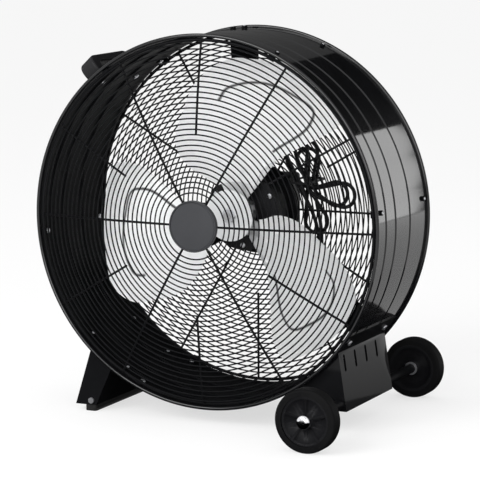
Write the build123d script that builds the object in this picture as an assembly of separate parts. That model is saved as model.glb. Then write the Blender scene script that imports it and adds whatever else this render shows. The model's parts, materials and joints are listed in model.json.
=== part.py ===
from build123d import *
import math
import os

# A 24-inch drum fan on a rubber foot and two wheels. Millimetres and degrees.
# +X is to the right seen from the front, +Y runs to the rear, +Z is up.
# The origin is on the floor, under the middle of the drum. Angles are counted
# anticlockwise from +X, seen from the front.

# ---- Drum ----
DRUM_DIAMETER = 660.0            # over the rolled beads
DRUM_DEPTH = 245.0
DRUM_WALL = 1.5
BEAD_RADIUS = 3.25
GROOVES_BEHIND_RIM = (47.0, 91.0, 158.0)
GROOVE_DEPTH = 3.0
GROOVE_WIDTH = 8.0
GROOVE_FLOOR = 4.0
GROUND_CLEARANCE = 25.0          # below the bead

# ---- Guards ----
RING_WIRE = 1.3                  # wire radii
SPOKE_WIRE = 2.0
RIM_WIRE = 3.0
RING_SIDES = 12                  # the thin rings' wire is faceted, to keep the model light
RING_PITCH = 9.1
FRONT_FIRST_RING = 58.0
REAR_FIRST_RING = 33.8
RING_MARGIN = 5.0                # least distance from the last ring to the rim wire
SHORT_SPOKE_START = 158.0
FULL_SPOKES = 6
RIM_WIRE_INSET = 7.0             # rim wire behind the mouth of the drum
DOME_RISE = 31.0
BADGE_RADIUS = 45.0
BADGE_THICKNESS = 8.0
CLAMP_THICKNESS = 2.0
BADGE_SCREW_RADIUS = 3.0
SPOKE_INNER_END = 24.0

# ---- Guard clips ----
CLIP_SHEET = 1.5
CLIP_WIDTH = 12.0
CLIP_REACH = 24.0
CLIP_SCREW_REACH = 17.0
CLIPS_PER_GUARD = 6
FIRST_CLIP_ANGLE = -54.0
CLIP_LOOP_CLEARANCE = 0.15
CLIP_SEAT_CLEARANCE = 0.2

# ---- Clearances ----
WELD_CLEARANCE = 0.05            # wires and sheets that touch
HOLE_REACH = 10.0                # of a hole's cutter, on each side of the face
HOLE_CLEARANCE = 0.1             # round screws and bolts, on the radius
SEAT_CLEARANCE = 0.1             # curved sheets on the drum
RUNNING_CLEARANCE = 0.05         # turning fits, on the radius
END_PLAY = 0.2                   # along a turning axis
FIT_CLEARANCE = 0.02             # pressed or clamped round fits, on the radius

# ---- Screws and nuts ----
SMALL_SCREW = 2.5                # M5: radius, head radius, head height
SMALL_HEAD = 4.8
SMALL_HEAD_HEIGHT = 2.6
SMALL_NUT_FLATS = 8.0
SMALL_NUT_HEIGHT = 4.0
LARGE_SCREW = 3.0                # M6
LARGE_HEAD = 5.6
LARGE_HEAD_HEIGHT = 3.2
LARGE_NUT_FLATS = 10.0
LARGE_NUT_HEIGHT = 4.6
TINY_SCREW = 2.0                 # M4
TINY_HEAD = 3.8
TINY_HEAD_HEIGHT = 2.2
THREAD_END = 1.0                 # bolt standing out of its nut

# ---- Fan ----
FAN_DIAMETER = 560.0
BLADE_CUTTER_LENGTH = 3 * FAN_DIAMETER
BLADE_CUTTER_DEPTH = FAN_DIAMETER / 3
FAN_BEFORE_MOTOR = 31.0          # middle of the blades before the motor's front
BLADE_SHEET = 1.6
BLADE_PITCH = 29.0
BLADE_CURVE_RADIUS = 420.0
BLADE_CURVE_SKEW = 20.0
BLADE_CURVE_CENTRE = 150.0       # radius at which the blade's middle line lies
BLADE_ANGLES = {"blade_upper": 82.0, "blade_left": 202.0, "blade_right": -38.0}
BLADE_ROOT_RADIUS = 58.0
BLADE_BEAD_WIDTH = 5.0
BLADE_BEAD_HEIGHT = 1.2
BLADE_CORNER = 16.0
# Edges from the tip inwards and from the root outwards: share of the tip radius, angle.
BLADE_TRAILING_EDGE = ((1.0, 9.0), (0.893, 18.5), (0.704, 29.0), (0.518, 41.0), (0.357, 43.0))
BLADE_LEADING_EDGE = ((0.321, -21.0), (0.457, -29.4), (0.607, -35.3), (0.839, -40.0), (1.0, -37.5))
BLADE_ROOT_ANGLES = (34.0, -24.0)
BLADE_BEAD_PLACES = ((0.461, -21.6), (0.75, -30.0), (0.80, -29.0), (0.843, -17.0), (0.854, -2.0),
                     (0.832, 5.0), (0.80, 10.0), (0.739, 13.0))
SPIDER_SHEET = 3.0
SPIDER_REACH = 114.0
SPIDER_HALF_ANGLE = 27.0
BOSS_RADIUS = 30.0
BOSS_LENGTH = 48.0
HUB_DISC_RADIUS = 46.0
HUB_DISC_THICKNESS = 3.0
RIVET_RADIUS = 2.5
RIVET_HEAD = 4.5
RIVET_HEAD_HEIGHT = 1.8
RIVET_HEAD_ROUND = 0.9 * RIVET_HEAD_HEIGHT
RIVET_PLACES = ((100.0, 22.0), (100.0, -22.0), (78.0, 0.0))
HUB_NUT_FLATS = 22.0
HUB_NUT_HEIGHT = 8.0
SET_SCREW_RADIUS = 3.0
SET_SCREW_ANGLE = 22.0

# ---- Motor ----
SHAFT_RADIUS = 7.5
MOTOR_RADIUS = 70.0
MOTOR_LENGTH = 54.0
MOTOR_WALL = 4.0
BELL_BOSS_RADIUS = 24.0
BEARING_OUTER = 17.5
BEARING_WIDTH = 11.0
BEARING_LIP = 2.0                # bell metal before each bearing
ROTOR_RADIUS = 38.0
AIR_GAP = 0.5
CORE_LENGTH = 22.0
WINDING_RADII = (42.0, 57.0)
WINDING_LENGTH = 8.0
MOTOR_BOLT_CIRCLE = 61.0
MOTOR_BOLT_ANGLES = (30.0, 150.0, 270.0)
MOTOR_PLATE_RADIUS = 82.0
MOTOR_PLATE_THICKNESS = 4.0
ARM_ANGLES = {"motor_arm_top": 95.0, "motor_arm_left": 208.0, "motor_arm_right": 315.5}
ARM_WIDTH = 50.0
ARM_THICKNESS = 4.0
ARM_INNER_END = 46.0
ARM_OVERLAP = 1.0                # of the arm into its flange, where they join
ARM_BEFORE_RIM = 15.0            # back of the arms before the rear rim
ARM_FLANGE_ANGLE = 7.5
ARM_FLANGE_DEPTH = 25.0
ARM_FLANGE_SHEET = 3.0
ARM_SCREW_ANGLE = 2.0
ARM_SCREW_BEFORE_RIM = 30.0
ARM_BOLT_RADIUS = 56.0
ARM_BOLT_SPREAD = 7.0

# ---- Control box ----
BOX_HALF_WIDTH = 52.0
BOX_TOP = 58.0                   # above the drum axis
BOX_BOTTOM = -60.0
BOX_BEHIND_RIM = 3.0
BOX_DEPTH = 54.0
BOX_WALL = 2.0
GLAND_HOLE_DEPTH = 3 * BOX_WALL
BOX_CORNER = 6.0
COVER_THICKNESS = 2.0
COVER_SCREW_LENGTH = COVER_THICKNESS + BOX_DEPTH / 3
NECK_RADIUS = 31.0
NECK_WALL = 4.0
NECK_FLANGE_INNER = 16.0
NECK_FLANGE_THICKNESS = 3.0
NECK_SCREW_CIRCLE = 21.5
BOX_POST = 5.0
BOX_POST_INSET = 9.0
CAPACITOR_RADIUS = 17.5
CAPACITOR_LENGTH = 56.0
CAPACITOR_PLACE = (-30.0, -16.0)      # X, and middle over the drum axis
SWITCH_HEIGHT = 8.0              # knob axis above the drum axis
SWITCH_X = 18.0
SWITCH_BODY = 17.0
SWITCH_DEPTH = 26.0
SWITCH_SHAFT = 3.0
SWITCH_BUSH = 5.0
KNOB_RADIUS = 20.0
KNOB_HEIGHT = 17.0
KNOB_BORE_DEPTH = 0.7 * KNOB_HEIGHT
KNOB_SKIRT = 5.0
KNOB_BAR_WIDTH = 10.0
KNOB_REST_ANGLE = 45.0
GLAND_X = 28.0
GLAND_BEHIND_RIM = 30.0
GLAND_FLANGE = 10.0
GLAND_FLANGE_HEIGHT = 4.0
GLAND_THREAD = 6.0
RELIEF_LENGTH = 30.0

# ---- Cord ----
CORD_RADIUS = 3.4
FOLD_RADIUS = 20.4               # three diameters at the ends of the loops
CROSSING_RADIUS = 30.0
LOOP_SLACK = 1.01                # room for the two arcs at a loop's end
LAYER_PITCH = 8.0
GAP_STEP = 2.0                   # distance between the points that the gap is measured on
GAP_SKIP = 26.0                  # stretch of cord next to a point that isn't measured
HANK_CENTRE = (80.0, 30.0)       # X, and height over the drum axis
HANK_BEHIND_RIM = 9.0            # first layer behind the rear rim
# Direction, length and side of the outgoing leg of each loop, in order.
LOOPS = (
    (100.0, 97.0, 1), (-3.0, 98.0, -1), (107.0, 80.0, 1), (-74.0, 80.0, -1),
    (96.0, 90.0, 1), (-8.0, 62.0, -1), (102.0, 74.0, 1),
)
END_RUN = 12.0                   # straight cord at each end of the hank
# The lead from the strain relief to the hank: X, behind the rear rim, over the axis.
LEAD_POINTS = (
    (28.0, 30.0, -125.6), (50.2, 28.5, -147.8), (81.4, 24.0, -147.8),
    (103.6, 17.0, -125.6), (112.0, 12.0, -85.0), (111.0, 8.5, -40.0), (98.0, 6.0, 0.0),
)
TAIL_POINTS = ((86.0, 61.0, -6.0), (95.0, 60.0, -44.0), (95.0, 60.0, -74.0))
TIE_WIDTH = 4.0
TIE_THICKNESS = 1.2
TIE_OVER_CENTRE = 18.0
TIE_RING_GAPS = (4, 8)           # gaps between rings that the tie passes through
TIE_CORNER = 6.0
PLUG_RELIEF_LENGTH = 18.0
PLUG_WIDTH = 34.0
PLUG_BLADE_SIDE = PLUG_WIDTH / 5
PLUG_DEPTH = 28.0
PLUG_CORNER = PLUG_DEPTH / 3
PLUG_EARTH_OFFSET = PLUG_DEPTH / 4
PLUG_BLADE_OFFSET = PLUG_DEPTH / 6
PLUG_EARTH_RADIUS = 2.4
PLUG_BLADE_WIDTH = 6.0
PLUG_HEIGHT = 36.0
PLUG_TAPER = 6.0

# ---- Handle ----
HANDLE_ANGLE = 133.5
HANDLE_SPREAD = 127.0            # between the middles of the feet
HANDLE_FOOT = 24.0
HANDLE_WIDTH = 32.0
HANDLE_RISE = 49.0               # top over the drum
HANDLE_BAR = 15.0
HANDLE_OUTER_CORNER = 22.0
HANDLE_INNER_CORNER = 12.0
HANDLE_EDGE = 4.0
HANDLE_SEAT = 4.0
HANDLE_SCREW_DEPTH = 18.0

# ---- Foot ----
BRACKET_LENGTH = 212.0           # foot and wheel bracket, along Y
BRACKET_SHEET = 2.0
FOOT_OUTER_ANGLE = -134.5        # where its plates leave the drum
FOOT_INNER_ANGLE = -125.0
FOOT_OUTER_SPREAD = 35.0         # foot of each plate beyond its top
FOOT_INNER_SPREAD = 35.6
FOOT_FLANGE_ENDS = (-141.0, -117.0)
FOOT_SCREW_ANGLES = (-137.5, -121.4)
RAIL_HEIGHT = 11.0
RAIL_WIDTH = 22.0
RAIL_END_ROUNDING = 5.0
SCREWS_FROM_BRACKET_ENDS = (18.0, 34.0)         # from the front end, from the rear end
END_BOLT_INSET = 9.0             # from the foot's inner corner, along and up
END_BOLT_RISE = 8.0

# ---- Wheel bracket ----
WHEEL_OUTER_ANGLE = -39.9
WHEEL_INNER_ANGLE = -59.0
WHEEL_OUTER_SPREAD = 16.0
WHEEL_INNER_SPREAD = 8.4
WHEEL_FLANGE_ENDS = (-33.5, -66.5)
WHEEL_SCREW_ANGLES = (-36.7, -62.8)
BRACKET_OVER_FLOOR = 42.0
BRACKET_LIP = 14.0
SLOT_PLACES = (38.0, 86.0, 134.0, 182.0)      # behind the front rim
SLOT_WIDTH = 8.0
SLOT_LENGTH = 30.0
SLOT_OVER_FLOOR = 123.0          # middle of the slots
BRACKET_BOLT_INSET = 17.0        # from the inner lower corner
BRACKET_BOLT_RISE = 32.0

# ---- Wheels ----
WHEEL_RADIUS = 55.0
WHEEL_WIDTH = 29.0
WHEEL_TRACK = 518.0              # over both wheels
TYRE_HEIGHT = 12.0
TYRE_ROUNDING = 5.0
RIM_RING = 5.0
RIM_WEB = 5.0
RIM_DISH = 8.0
HUB_RADIUS = 13.0
HUB_RECESS = 4.0
WHEEL_RIBS = 5
AXLE_RADIUS = 7.0
AXLE_FROM_CORNER = 12.5          # axle before the bracket's outer lower corner
SPACER_WALL = 1.5
WASHER_RADIUS = 12.0
WASHER_THICKNESS = 1.5
CAP_RADIUS = 13.0
CAP_COLLAR = 4.0
CAP_DOME = 8.0
AXLE_IN_CAP = 7.0

# ---- Derived places ----
DRUM_RADIUS = DRUM_DIAMETER / 2
SHELL_INNER = DRUM_RADIUS - 2 * BEAD_RADIUS
SHELL_OUTER = SHELL_INNER + DRUM_WALL
AXIS_HEIGHT = DRUM_RADIUS + GROUND_CLEARANCE
FRONT_RIM = -DRUM_DEPTH / 2
REAR_RIM = DRUM_DEPTH / 2
FLOOR = -AXIS_HEIGHT             # the floor, counted from the drum axis
RIM_RING_RADIUS = (SHELL_INNER - CLIP_SEAT_CLEARANCE - CLIP_SHEET - CLIP_LOOP_CLEARANCE
                   - RIM_WIRE)
FRONT_RING_Y = FRONT_RIM + RIM_WIRE_INSET
REAR_RING_Y = REAR_RIM - RIM_WIRE_INSET
SPOKE_STEP = RIM_WIRE + SPOKE_WIRE + WELD_CLEARANCE
RING_STEP = SPOKE_WIRE + RING_WIRE + WELD_CLEARANCE
DOME_EDGE_Y = FRONT_RING_Y - SPOKE_STEP
DOME_RADIUS = (RIM_RING_RADIUS ** 2 + DOME_RISE ** 2) / (2 * DOME_RISE)
DOME_CENTRE_Y = DOME_EDGE_Y - DOME_RISE + DOME_RADIUS
REAR_SPOKE_Y = REAR_RING_Y - SPOKE_STEP
CLIP_ANGLES = [FIRST_CLIP_ANGLE + n * 360 / CLIPS_PER_GUARD for n in range(CLIPS_PER_GUARD)]

ARM_BACK = REAR_RIM - ARM_BEFORE_RIM
ARM_FRONT = ARM_BACK - ARM_THICKNESS
MOTOR_BACK = ARM_FRONT - MOTOR_PLATE_THICKNESS
MOTOR_FRONT = MOTOR_BACK - MOTOR_LENGTH
FAN_MIDDLE = MOTOR_FRONT - FAN_BEFORE_MOTOR
BOSS_FRONT = FAN_MIDDLE - BOSS_LENGTH / 2
HUB_DISC_FRONT = BOSS_FRONT - HUB_DISC_THICKNESS
CORE_MIDDLE = (MOTOR_FRONT + MOTOR_BACK) / 2

BOX_FRONT = REAR_RIM + BOX_BEHIND_RIM
BOX_BACK = BOX_FRONT + BOX_DEPTH
COVER_BACK = BOX_BACK + COVER_THICKNESS
KNOB_FRONT = COVER_BACK + END_PLAY
GLAND_Y = REAR_RIM + GLAND_BEHIND_RIM
GLAND_BOTTOM = BOX_BOTTOM - GLAND_FLANGE_HEIGHT - RELIEF_LENGTH

BRACKET_END = BRACKET_LENGTH / 2
FLANGE_INNER = SHELL_OUTER + SEAT_CLEARANCE
FLANGE_OUTER = FLANGE_INNER + BRACKET_SHEET
WHEEL_OUTER_FACE = WHEEL_TRACK / 2
WHEEL_INNER_FACE = WHEEL_OUTER_FACE - WHEEL_WIDTH
HUB_OUTER_FACE = WHEEL_OUTER_FACE - HUB_RECESS

CENTRED = (Align.CENTER, Align.CENTER, Align.MIN)
DRUM_AXIS = Axis((0, 0, AXIS_HEIGHT), (0, -1, 0))    # turns +X towards +Z


# ---- Shared shapes ----
def polar(radius, angle):
    """X and height over the drum axis of a point at a radius and an angle."""
    return radius * math.cos(math.radians(angle)), radius * math.sin(math.radians(angle))


def at_angle(shape, angle):
    """The shape, made at angle 0, turned about the drum axis."""
    return shape.rotate(DRUM_AXIS, angle)


def disc(radius, y_start, y_end, x=0.0, over_axis=0.0):
    """A cylinder along Y between two depths."""
    solid = Cylinder(radius, y_end - y_start, align=CENTRED)
    return Pos(x, y_start, AXIS_HEIGHT + over_axis) * Rot(-90, 0, 0) * solid


def pipe(outer, inner, y_start, y_end, x=0.0, over_axis=0.0):
    """A tube along Y between two depths."""
    return disc(outer, y_start, y_end, x, over_axis) - disc(inner, y_start, y_end, x, over_axis)


def slab(sketch, y_start, y_end):
    """A sketch in X and height over the axis, given depth along Y."""
    face = Plane(origin=(0, y_end, AXIS_HEIGHT), x_dir=(1, 0, 0), z_dir=(0, -1, 0)) * sketch
    return extrude(face, y_end - y_start)


def turned(profile, x=0.0, over_axis=0.0):
    """A profile in radius and Y, turned about a line along Y."""
    place = Pos(x, 0, AXIS_HEIGHT + over_axis)
    return revolve(place * profile, Axis((x, 0, AXIS_HEIGHT + over_axis), (0, 1, 0)))


def block(x_range, y_range, height_range):
    """A box between limits in X, in Y and in height over the drum axis."""
    x0, x1 = x_range
    y0, y1 = y_range
    z0, z1 = height_range
    middle = Pos((x0 + x1) / 2, (y0 + y1) / 2, AXIS_HEIGHT + (z0 + z1) / 2)
    return middle * Box(x1 - x0, y1 - y0, z1 - z0)


def sector(inner, outer, start, end):
    """A piece of a ring about the drum axis, as a sketch."""
    middle = (start + end) / 2
    outer_arc = ThreePointArc(polar(outer, start), polar(outer, middle), polar(outer, end))
    inner_arc = ThreePointArc(polar(inner, end), polar(inner, middle), polar(inner, start))
    sides = [Line(outer_arc @ 1, inner_arc @ 0), Line(inner_arc @ 1, outer_arc @ 0)]
    return make_face([outer_arc, inner_arc] + sides)


def folded(points, thickness):
    """The section of a folded sheet: a line of points and its parallel on the left."""
    normals = []
    for (x0, z0), (x1, z1) in zip(points, points[1:]):
        run = math.hypot(x1 - x0, z1 - z0)
        normals.append(((z0 - z1) / run, (x1 - x0) / run))
    parallel = []
    for (x, z), (ax, az), (bx, bz) in zip(points, normals[:1] + normals, normals + normals[-1:]):
        share = thickness / (1 + ax * bx + az * bz)
        parallel.append((x + share * (ax + bx), z + share * (az + bz)))
    return make_face(Polyline(list(points) + parallel[::-1], close=True))


def placed(shape, origin, direction):
    """A shape made along +Z, put at a point and turned to a direction."""
    return Plane(origin=origin, z_dir=direction).location * shape


def radial(shape, radius, angle, y, outward=True):
    """A shape made along +Z, put on the drum so that it points along a radius."""
    x, over_axis = polar(radius, angle)
    way = 1 if outward else -1
    along = polar(way, angle)
    return placed(shape, (x, y, AXIS_HEIGHT + over_axis), (along[0], 0, along[1]))


def screw(radius, length, head, head_height):
    """A round-headed screw: shank along +Z from the plane under its head."""
    cap = Pos(0, 0, -head_height) * Cylinder(head, head_height, align=CENTRED)
    cap = fillet(cap.edges().sort_by(Axis.Z)[0], head_height / 2)
    return cap + Cylinder(radius, length, align=CENTRED)


def hex_bolt(radius, length, flats, head_height):
    """A hexagon bolt: shank along +Z from the plane under its head."""
    cap = Pos(0, 0, -head_height) * extrude(hexagon(flats), head_height)
    return cap + Cylinder(radius, length, align=CENTRED)


def hexagon(flats):
    """A hexagon of a size over its flats, as a sketch."""
    return RegularPolygon(radius=flats / 2, side_count=6, major_radius=False)


def nut(screw_radius, flats, height):
    """A hexagon nut from the origin along +Z, round a screw."""
    return extrude(hexagon(flats) - Circle(screw_radius + FIT_CLEARANCE), height)


def bore(radius, length):
    """A cutter for a hole, along Z on both sides of the origin."""
    return Cylinder(radius + HOLE_CLEARANCE, 2 * length)


# ---- Places of the fasteners in the drum's wall ----
def clip_places():
    """Angle, ring depth and sign of the way into the drum of each guard clip."""
    front = [(angle, FRONT_RING_Y, 1) for angle in CLIP_ANGLES]
    return front + [(angle, REAR_RING_Y, -1) for angle in CLIP_ANGLES]


def arm_screw_places():
    """Angle and depth of each screw that holds a motor arm."""
    y = REAR_RIM - ARM_SCREW_BEFORE_RIM
    return [(angle + side * ARM_SCREW_ANGLE, y) for angle in ARM_ANGLES.values() for side in (1, -1)]


def bracket_screw_places():
    """Angle and depth of each screw that holds the foot or the wheel bracket."""
    from_front, from_rear = SCREWS_FROM_BRACKET_ENDS
    angles = FOOT_SCREW_ANGLES + WHEEL_SCREW_ANGLES
    return [(angle, y) for angle in angles for y in (from_front - BRACKET_END, BRACKET_END - from_rear)]


def handle_screw_places():
    """Angle and depth of each screw that holds the handle."""
    return [(HANDLE_ANGLE, side * HANDLE_SPREAD / 2) for side in (1, -1)]


# ---- Drum ----
def drum_shell():
    """The drum: one sheet with rolled grooves, and a bead at both mouths."""
    outer = [(SHELL_OUTER, FRONT_RIM + BEAD_RADIUS)]
    for place in GROOVES_BEHIND_RIM:
        y = FRONT_RIM + place
        floor = SHELL_OUTER - GROOVE_DEPTH
        outer.append((SHELL_OUTER, y - GROOVE_WIDTH / 2))
        outer.append((floor, y - GROOVE_FLOOR / 2))
        outer.append((floor, y + GROOVE_FLOOR / 2))
        outer.append((SHELL_OUTER, y + GROOVE_WIDTH / 2))
    outer.append((SHELL_OUTER, REAR_RIM - BEAD_RADIUS))
    inner = [(radius - DRUM_WALL, y) for radius, y in reversed(outer)]
    profile = make_face(Polyline(outer + inner, close=True))
    for y in (FRONT_RIM + BEAD_RADIUS, REAR_RIM - BEAD_RADIUS):
        profile += Pos(SHELL_INNER + BEAD_RADIUS, y) * Circle(BEAD_RADIUS)
    holes = [radial(bore(SMALL_SCREW, HOLE_REACH), SHELL_OUTER, angle, y + way * CLIP_SCREW_REACH)
             for angle, y, way in clip_places()]
    large = arm_screw_places() + bracket_screw_places() + handle_screw_places()
    holes += [radial(bore(LARGE_SCREW, HOLE_REACH), SHELL_OUTER, angle, y) for angle, y in large]
    return turned(profile) - holes


# ---- Guards ----
def dome_y(radius, lift=0.0):
    """Depth of the front guard's dome at a radius, lifted off it by a distance."""
    return DOME_CENTRE_Y - math.sqrt((DOME_RADIUS + lift) ** 2 - radius ** 2)


def rim_wire(y):
    """The thick round wire at a guard's edge."""
    return Pos(0, y, AXIS_HEIGHT) * Rot(90, 0, 0) * Torus(RIM_RING_RADIUS, RIM_WIRE)


def ring(radius, y):
    """A thin ring of wire about the drum axis."""
    return turned(Pos(radius, y) * RegularPolygon(RING_WIRE, RING_SIDES))


def ring_radii(first):
    """Radii of a guard's rings, from the first one out to the rim wire."""
    room = RIM_RING_RADIUS - RING_MARGIN - first
    return [first + n * RING_PITCH for n in range(int(room / RING_PITCH) + 1)]


def spoke_angles():
    """Angle and whether it is a full one, of each spoke."""
    step = 180 / FULL_SPOKES
    return [(n * step, n % 2 == 0) for n in range(2 * FULL_SPOKES)]


def front_guard():
    """The domed front guard: rim wire, rings in front of the spokes, and spokes."""
    wires = [rim_wire(FRONT_RING_Y)]
    wires += [ring(r, dome_y(r, RING_STEP)) for r in ring_radii(FRONT_FIRST_RING)]
    for angle, full in spoke_angles():
        start = SPOKE_INNER_END if full else SHORT_SPOKE_START
        middle = (start + RIM_RING_RADIUS) / 2
        line = ThreePointArc(*[(r, dome_y(r), AXIS_HEIGHT) for r in (start, middle, RIM_RING_RADIUS)])
        wire = sweep(Plane(origin=line @ 0, z_dir=line % 0) * Circle(SPOKE_WIRE), path=line)
        wires.append(at_angle(wire, angle))
    return wires


def rear_guard():
    """The flat rear guard, with a wide opening in its middle for the neck."""
    ring_y = REAR_SPOKE_Y + RING_STEP
    wires = [rim_wire(REAR_RING_Y)]
    wires += [ring(r, ring_y) for r in ring_radii(REAR_FIRST_RING)]
    for angle, full in spoke_angles():
        start = REAR_FIRST_RING if full else SHORT_SPOKE_START
        rod = Cylinder(SPOKE_WIRE, RIM_RING_RADIUS - start, align=CENTRED)
        wires.append(radial(rod, start, angle, REAR_SPOKE_Y))
    return wires


def badge_parts():
    """The bare badge, the clamp behind the spokes and the screw that joins them."""
    back = dome_y(0) - SPOKE_WIRE - WELD_CLEARANCE
    clamp_front = dome_y(BADGE_RADIUS) + SPOKE_WIRE + WELD_CLEARANCE
    clamp_back = clamp_front + CLAMP_THICKNESS
    thread = BADGE_THICKNESS - CLAMP_THICKNESS
    face = Pos(BADGE_RADIUS / 2, back - BADGE_THICKNESS / 2) * Rectangle(BADGE_RADIUS, BADGE_THICKNESS)
    rim = face.vertices().sort_by(Axis.Y)[:2].sort_by(Axis.X)[-1]
    badge = turned(fillet(rim, CLAMP_THICKNESS))
    badge -= disc(BADGE_SCREW_RADIUS + HOLE_CLEARANCE, back - thread, back)
    clamp = pipe(BADGE_RADIUS - RIM_WIRE, BADGE_SCREW_RADIUS + HOLE_CLEARANCE, clamp_front, clamp_back)
    bolt = hex_bolt(BADGE_SCREW_RADIUS, clamp_back - back + thread - THREAD_END, LARGE_NUT_FLATS,
                    LARGE_NUT_HEIGHT)
    return badge, clamp, placed(bolt, (0, clamp_back, AXIS_HEIGHT), (0, -1, 0))


def guard_clip(y, way):
    """A clip round the rim wire, with a tongue along the drum's wall, at angle 0."""
    inner = RIM_WIRE + CLIP_LOOP_CLEARANCE
    outer = inner + CLIP_SHEET
    tongue = Pos(RIM_RING_RADIUS + inner + CLIP_SHEET / 2, y + way * CLIP_REACH / 2)
    sketch = Pos(RIM_RING_RADIUS, y) * Circle(outer) + tongue * Rectangle(CLIP_SHEET, CLIP_REACH)
    sketch -= Pos(RIM_RING_RADIUS, y) * Circle(inner)
    clip = extrude(Pos(0, 0, AXIS_HEIGHT) * sketch, CLIP_WIDTH / 2, both=True)
    hole = bore(SMALL_SCREW, HOLE_REACH)
    return clip - radial(hole, RIM_RING_RADIUS + inner, 0, y + way * CLIP_SCREW_REACH)


def guard_fasteners():
    """The clips, their screws with heads inside the drum, and the nuts outside it."""
    tongue = RIM_RING_RADIUS + RIM_WIRE + CLIP_LOOP_CLEARANCE
    length = SHELL_OUTER - tongue + SMALL_NUT_HEIGHT + THREAD_END
    clips, screws, nuts = [], [], []
    for angle, y, way in clip_places():
        hole_y = y + way * CLIP_SCREW_REACH
        pin = screw(SMALL_SCREW, length, SMALL_HEAD, SMALL_HEAD_HEIGHT)
        clips.append(at_angle(guard_clip(y, way), angle))
        screws.append(radial(pin, tongue, angle, hole_y))
        cap = nut(SMALL_SCREW, SMALL_NUT_FLATS, SMALL_NUT_HEIGHT)
        nuts.append(radial(cap, SHELL_OUTER, angle, hole_y))
    return clips, screws, nuts


# ---- Fan ----
def blade_frame():
    """Unit vectors of a blade at angle 0: along its chord, to its front, along its curve's axis."""
    pitch = math.radians(BLADE_PITCH)
    skew = math.radians(BLADE_CURVE_SKEW)
    chord = Vector(0, -math.sin(pitch), math.cos(pitch))
    front = Vector(0, -math.cos(pitch), -math.sin(pitch))
    axis = Vector(1, 0, 0) * math.cos(skew) + chord * math.sin(skew)
    return chord, front, axis


def blade_curve_point():
    """A point on the axis of the cylinder that a blade at angle 0 is part of."""
    front = blade_frame()[1]
    return Vector(BLADE_CURVE_CENTRE, FAN_MIDDLE, AXIS_HEIGHT) + front * BLADE_CURVE_RADIUS


def blade_sheet(near, far, sketch):
    """Part of the blade's cylinder wall, between two radii, inside a sketch seen from the front."""
    axis = blade_frame()[2]
    wall = Cylinder(far, BLADE_CUTTER_LENGTH) - Cylinder(near, BLADE_CUTTER_LENGTH)
    prism = slab(sketch, FAN_MIDDLE - BLADE_CUTTER_DEPTH, FAN_MIDDLE + BLADE_CUTTER_DEPTH)
    return placed(wall, blade_curve_point(), axis) & prism


def on_blade(radius, angle, offset=0.0):
    """Point on the blade's front face, offset behind it, and the normal to the front."""
    x, over_axis = polar(radius, angle)
    axis = blade_frame()[2]
    centre = blade_curve_point()
    flat = Vector(x, 0, AXIS_HEIGHT + over_axis) - centre
    flat_part = flat - axis * flat.dot(axis)
    depth_part = Vector(0, 1, 0) - axis * axis.Y
    a = depth_part.dot(depth_part)
    b = 2 * flat_part.dot(depth_part)
    c = flat_part.dot(flat_part) - (BLADE_CURVE_RADIUS + offset) ** 2
    y = (-b + math.sqrt(b * b - 4 * a * c)) / (2 * a)
    point = Vector(x, y, AXIS_HEIGHT + over_axis)
    from_centre = point - centre
    normal = (from_centre - axis * from_centre.dot(axis)).normalized() * -1
    return point, normal


def blade_outline():
    """A blade seen from the front, at angle 0: two curved edges, a tip arc and a root arc."""
    tip = FAN_DIAMETER / 2
    trailing = [polar(tip * share, angle) for share, angle in BLADE_TRAILING_EDGE]
    leading = [polar(tip * share, angle) for share, angle in BLADE_LEADING_EDGE]
    trailing_edge = Spline(trailing + [polar(BLADE_ROOT_RADIUS, BLADE_ROOT_ANGLES[0])])
    leading_edge = Spline([polar(BLADE_ROOT_RADIUS, BLADE_ROOT_ANGLES[1])] + leading)
    root_middle = polar(BLADE_ROOT_RADIUS, sum(BLADE_ROOT_ANGLES) / 2)
    root = ThreePointArc(trailing_edge @ 1, root_middle, leading_edge @ 0)
    tip_middle = polar(tip, (BLADE_TRAILING_EDGE[0][1] + BLADE_LEADING_EDGE[-1][1]) / 2)
    end = ThreePointArc(leading_edge @ 1, tip_middle, trailing_edge @ 0)
    outline = make_face([trailing_edge, root, leading_edge, end])
    corners = outline.vertices().sort_by_distance((0, 0, 0))[-2:]
    return fillet(corners, BLADE_CORNER)


def blade_bead():
    """The stiffening bead round the outer part of a blade, as a sketch of joined slots."""
    tip = FAN_DIAMETER / 2
    points = [polar(tip * share, angle) for share, angle in BLADE_BEAD_PLACES]
    band = Sketch()
    for (x0, z0), (x1, z1) in zip(points, points[1:]):
        slot = SlotCenterToCenter(math.hypot(x1 - x0, z1 - z0), BLADE_BEAD_WIDTH)
        turn = math.degrees(math.atan2(z1 - z0, x1 - x0))
        band += Pos((x0 + x1) / 2, (z0 + z1) / 2) * Rot(0, 0, turn) * slot
    return band


def rivet_holes():
    """Cutters for the rivets of a blade at angle 0."""
    cutters = []
    for radius, angle in RIVET_PLACES:
        point, normal = on_blade(radius, angle)
        cutters.append(placed(bore(RIVET_RADIUS, HOLE_REACH), point, normal))
    return cutters


def blade():
    """One blade at angle 0, with its bead and rivet holes."""
    near = BLADE_CURVE_RADIUS
    sheet = blade_sheet(near, near + BLADE_SHEET, blade_outline())
    bead = blade_sheet(near - BLADE_BEAD_HEIGHT, near + BLADE_SHEET, blade_bead())
    return sheet + bead - rivet_holes()


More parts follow.
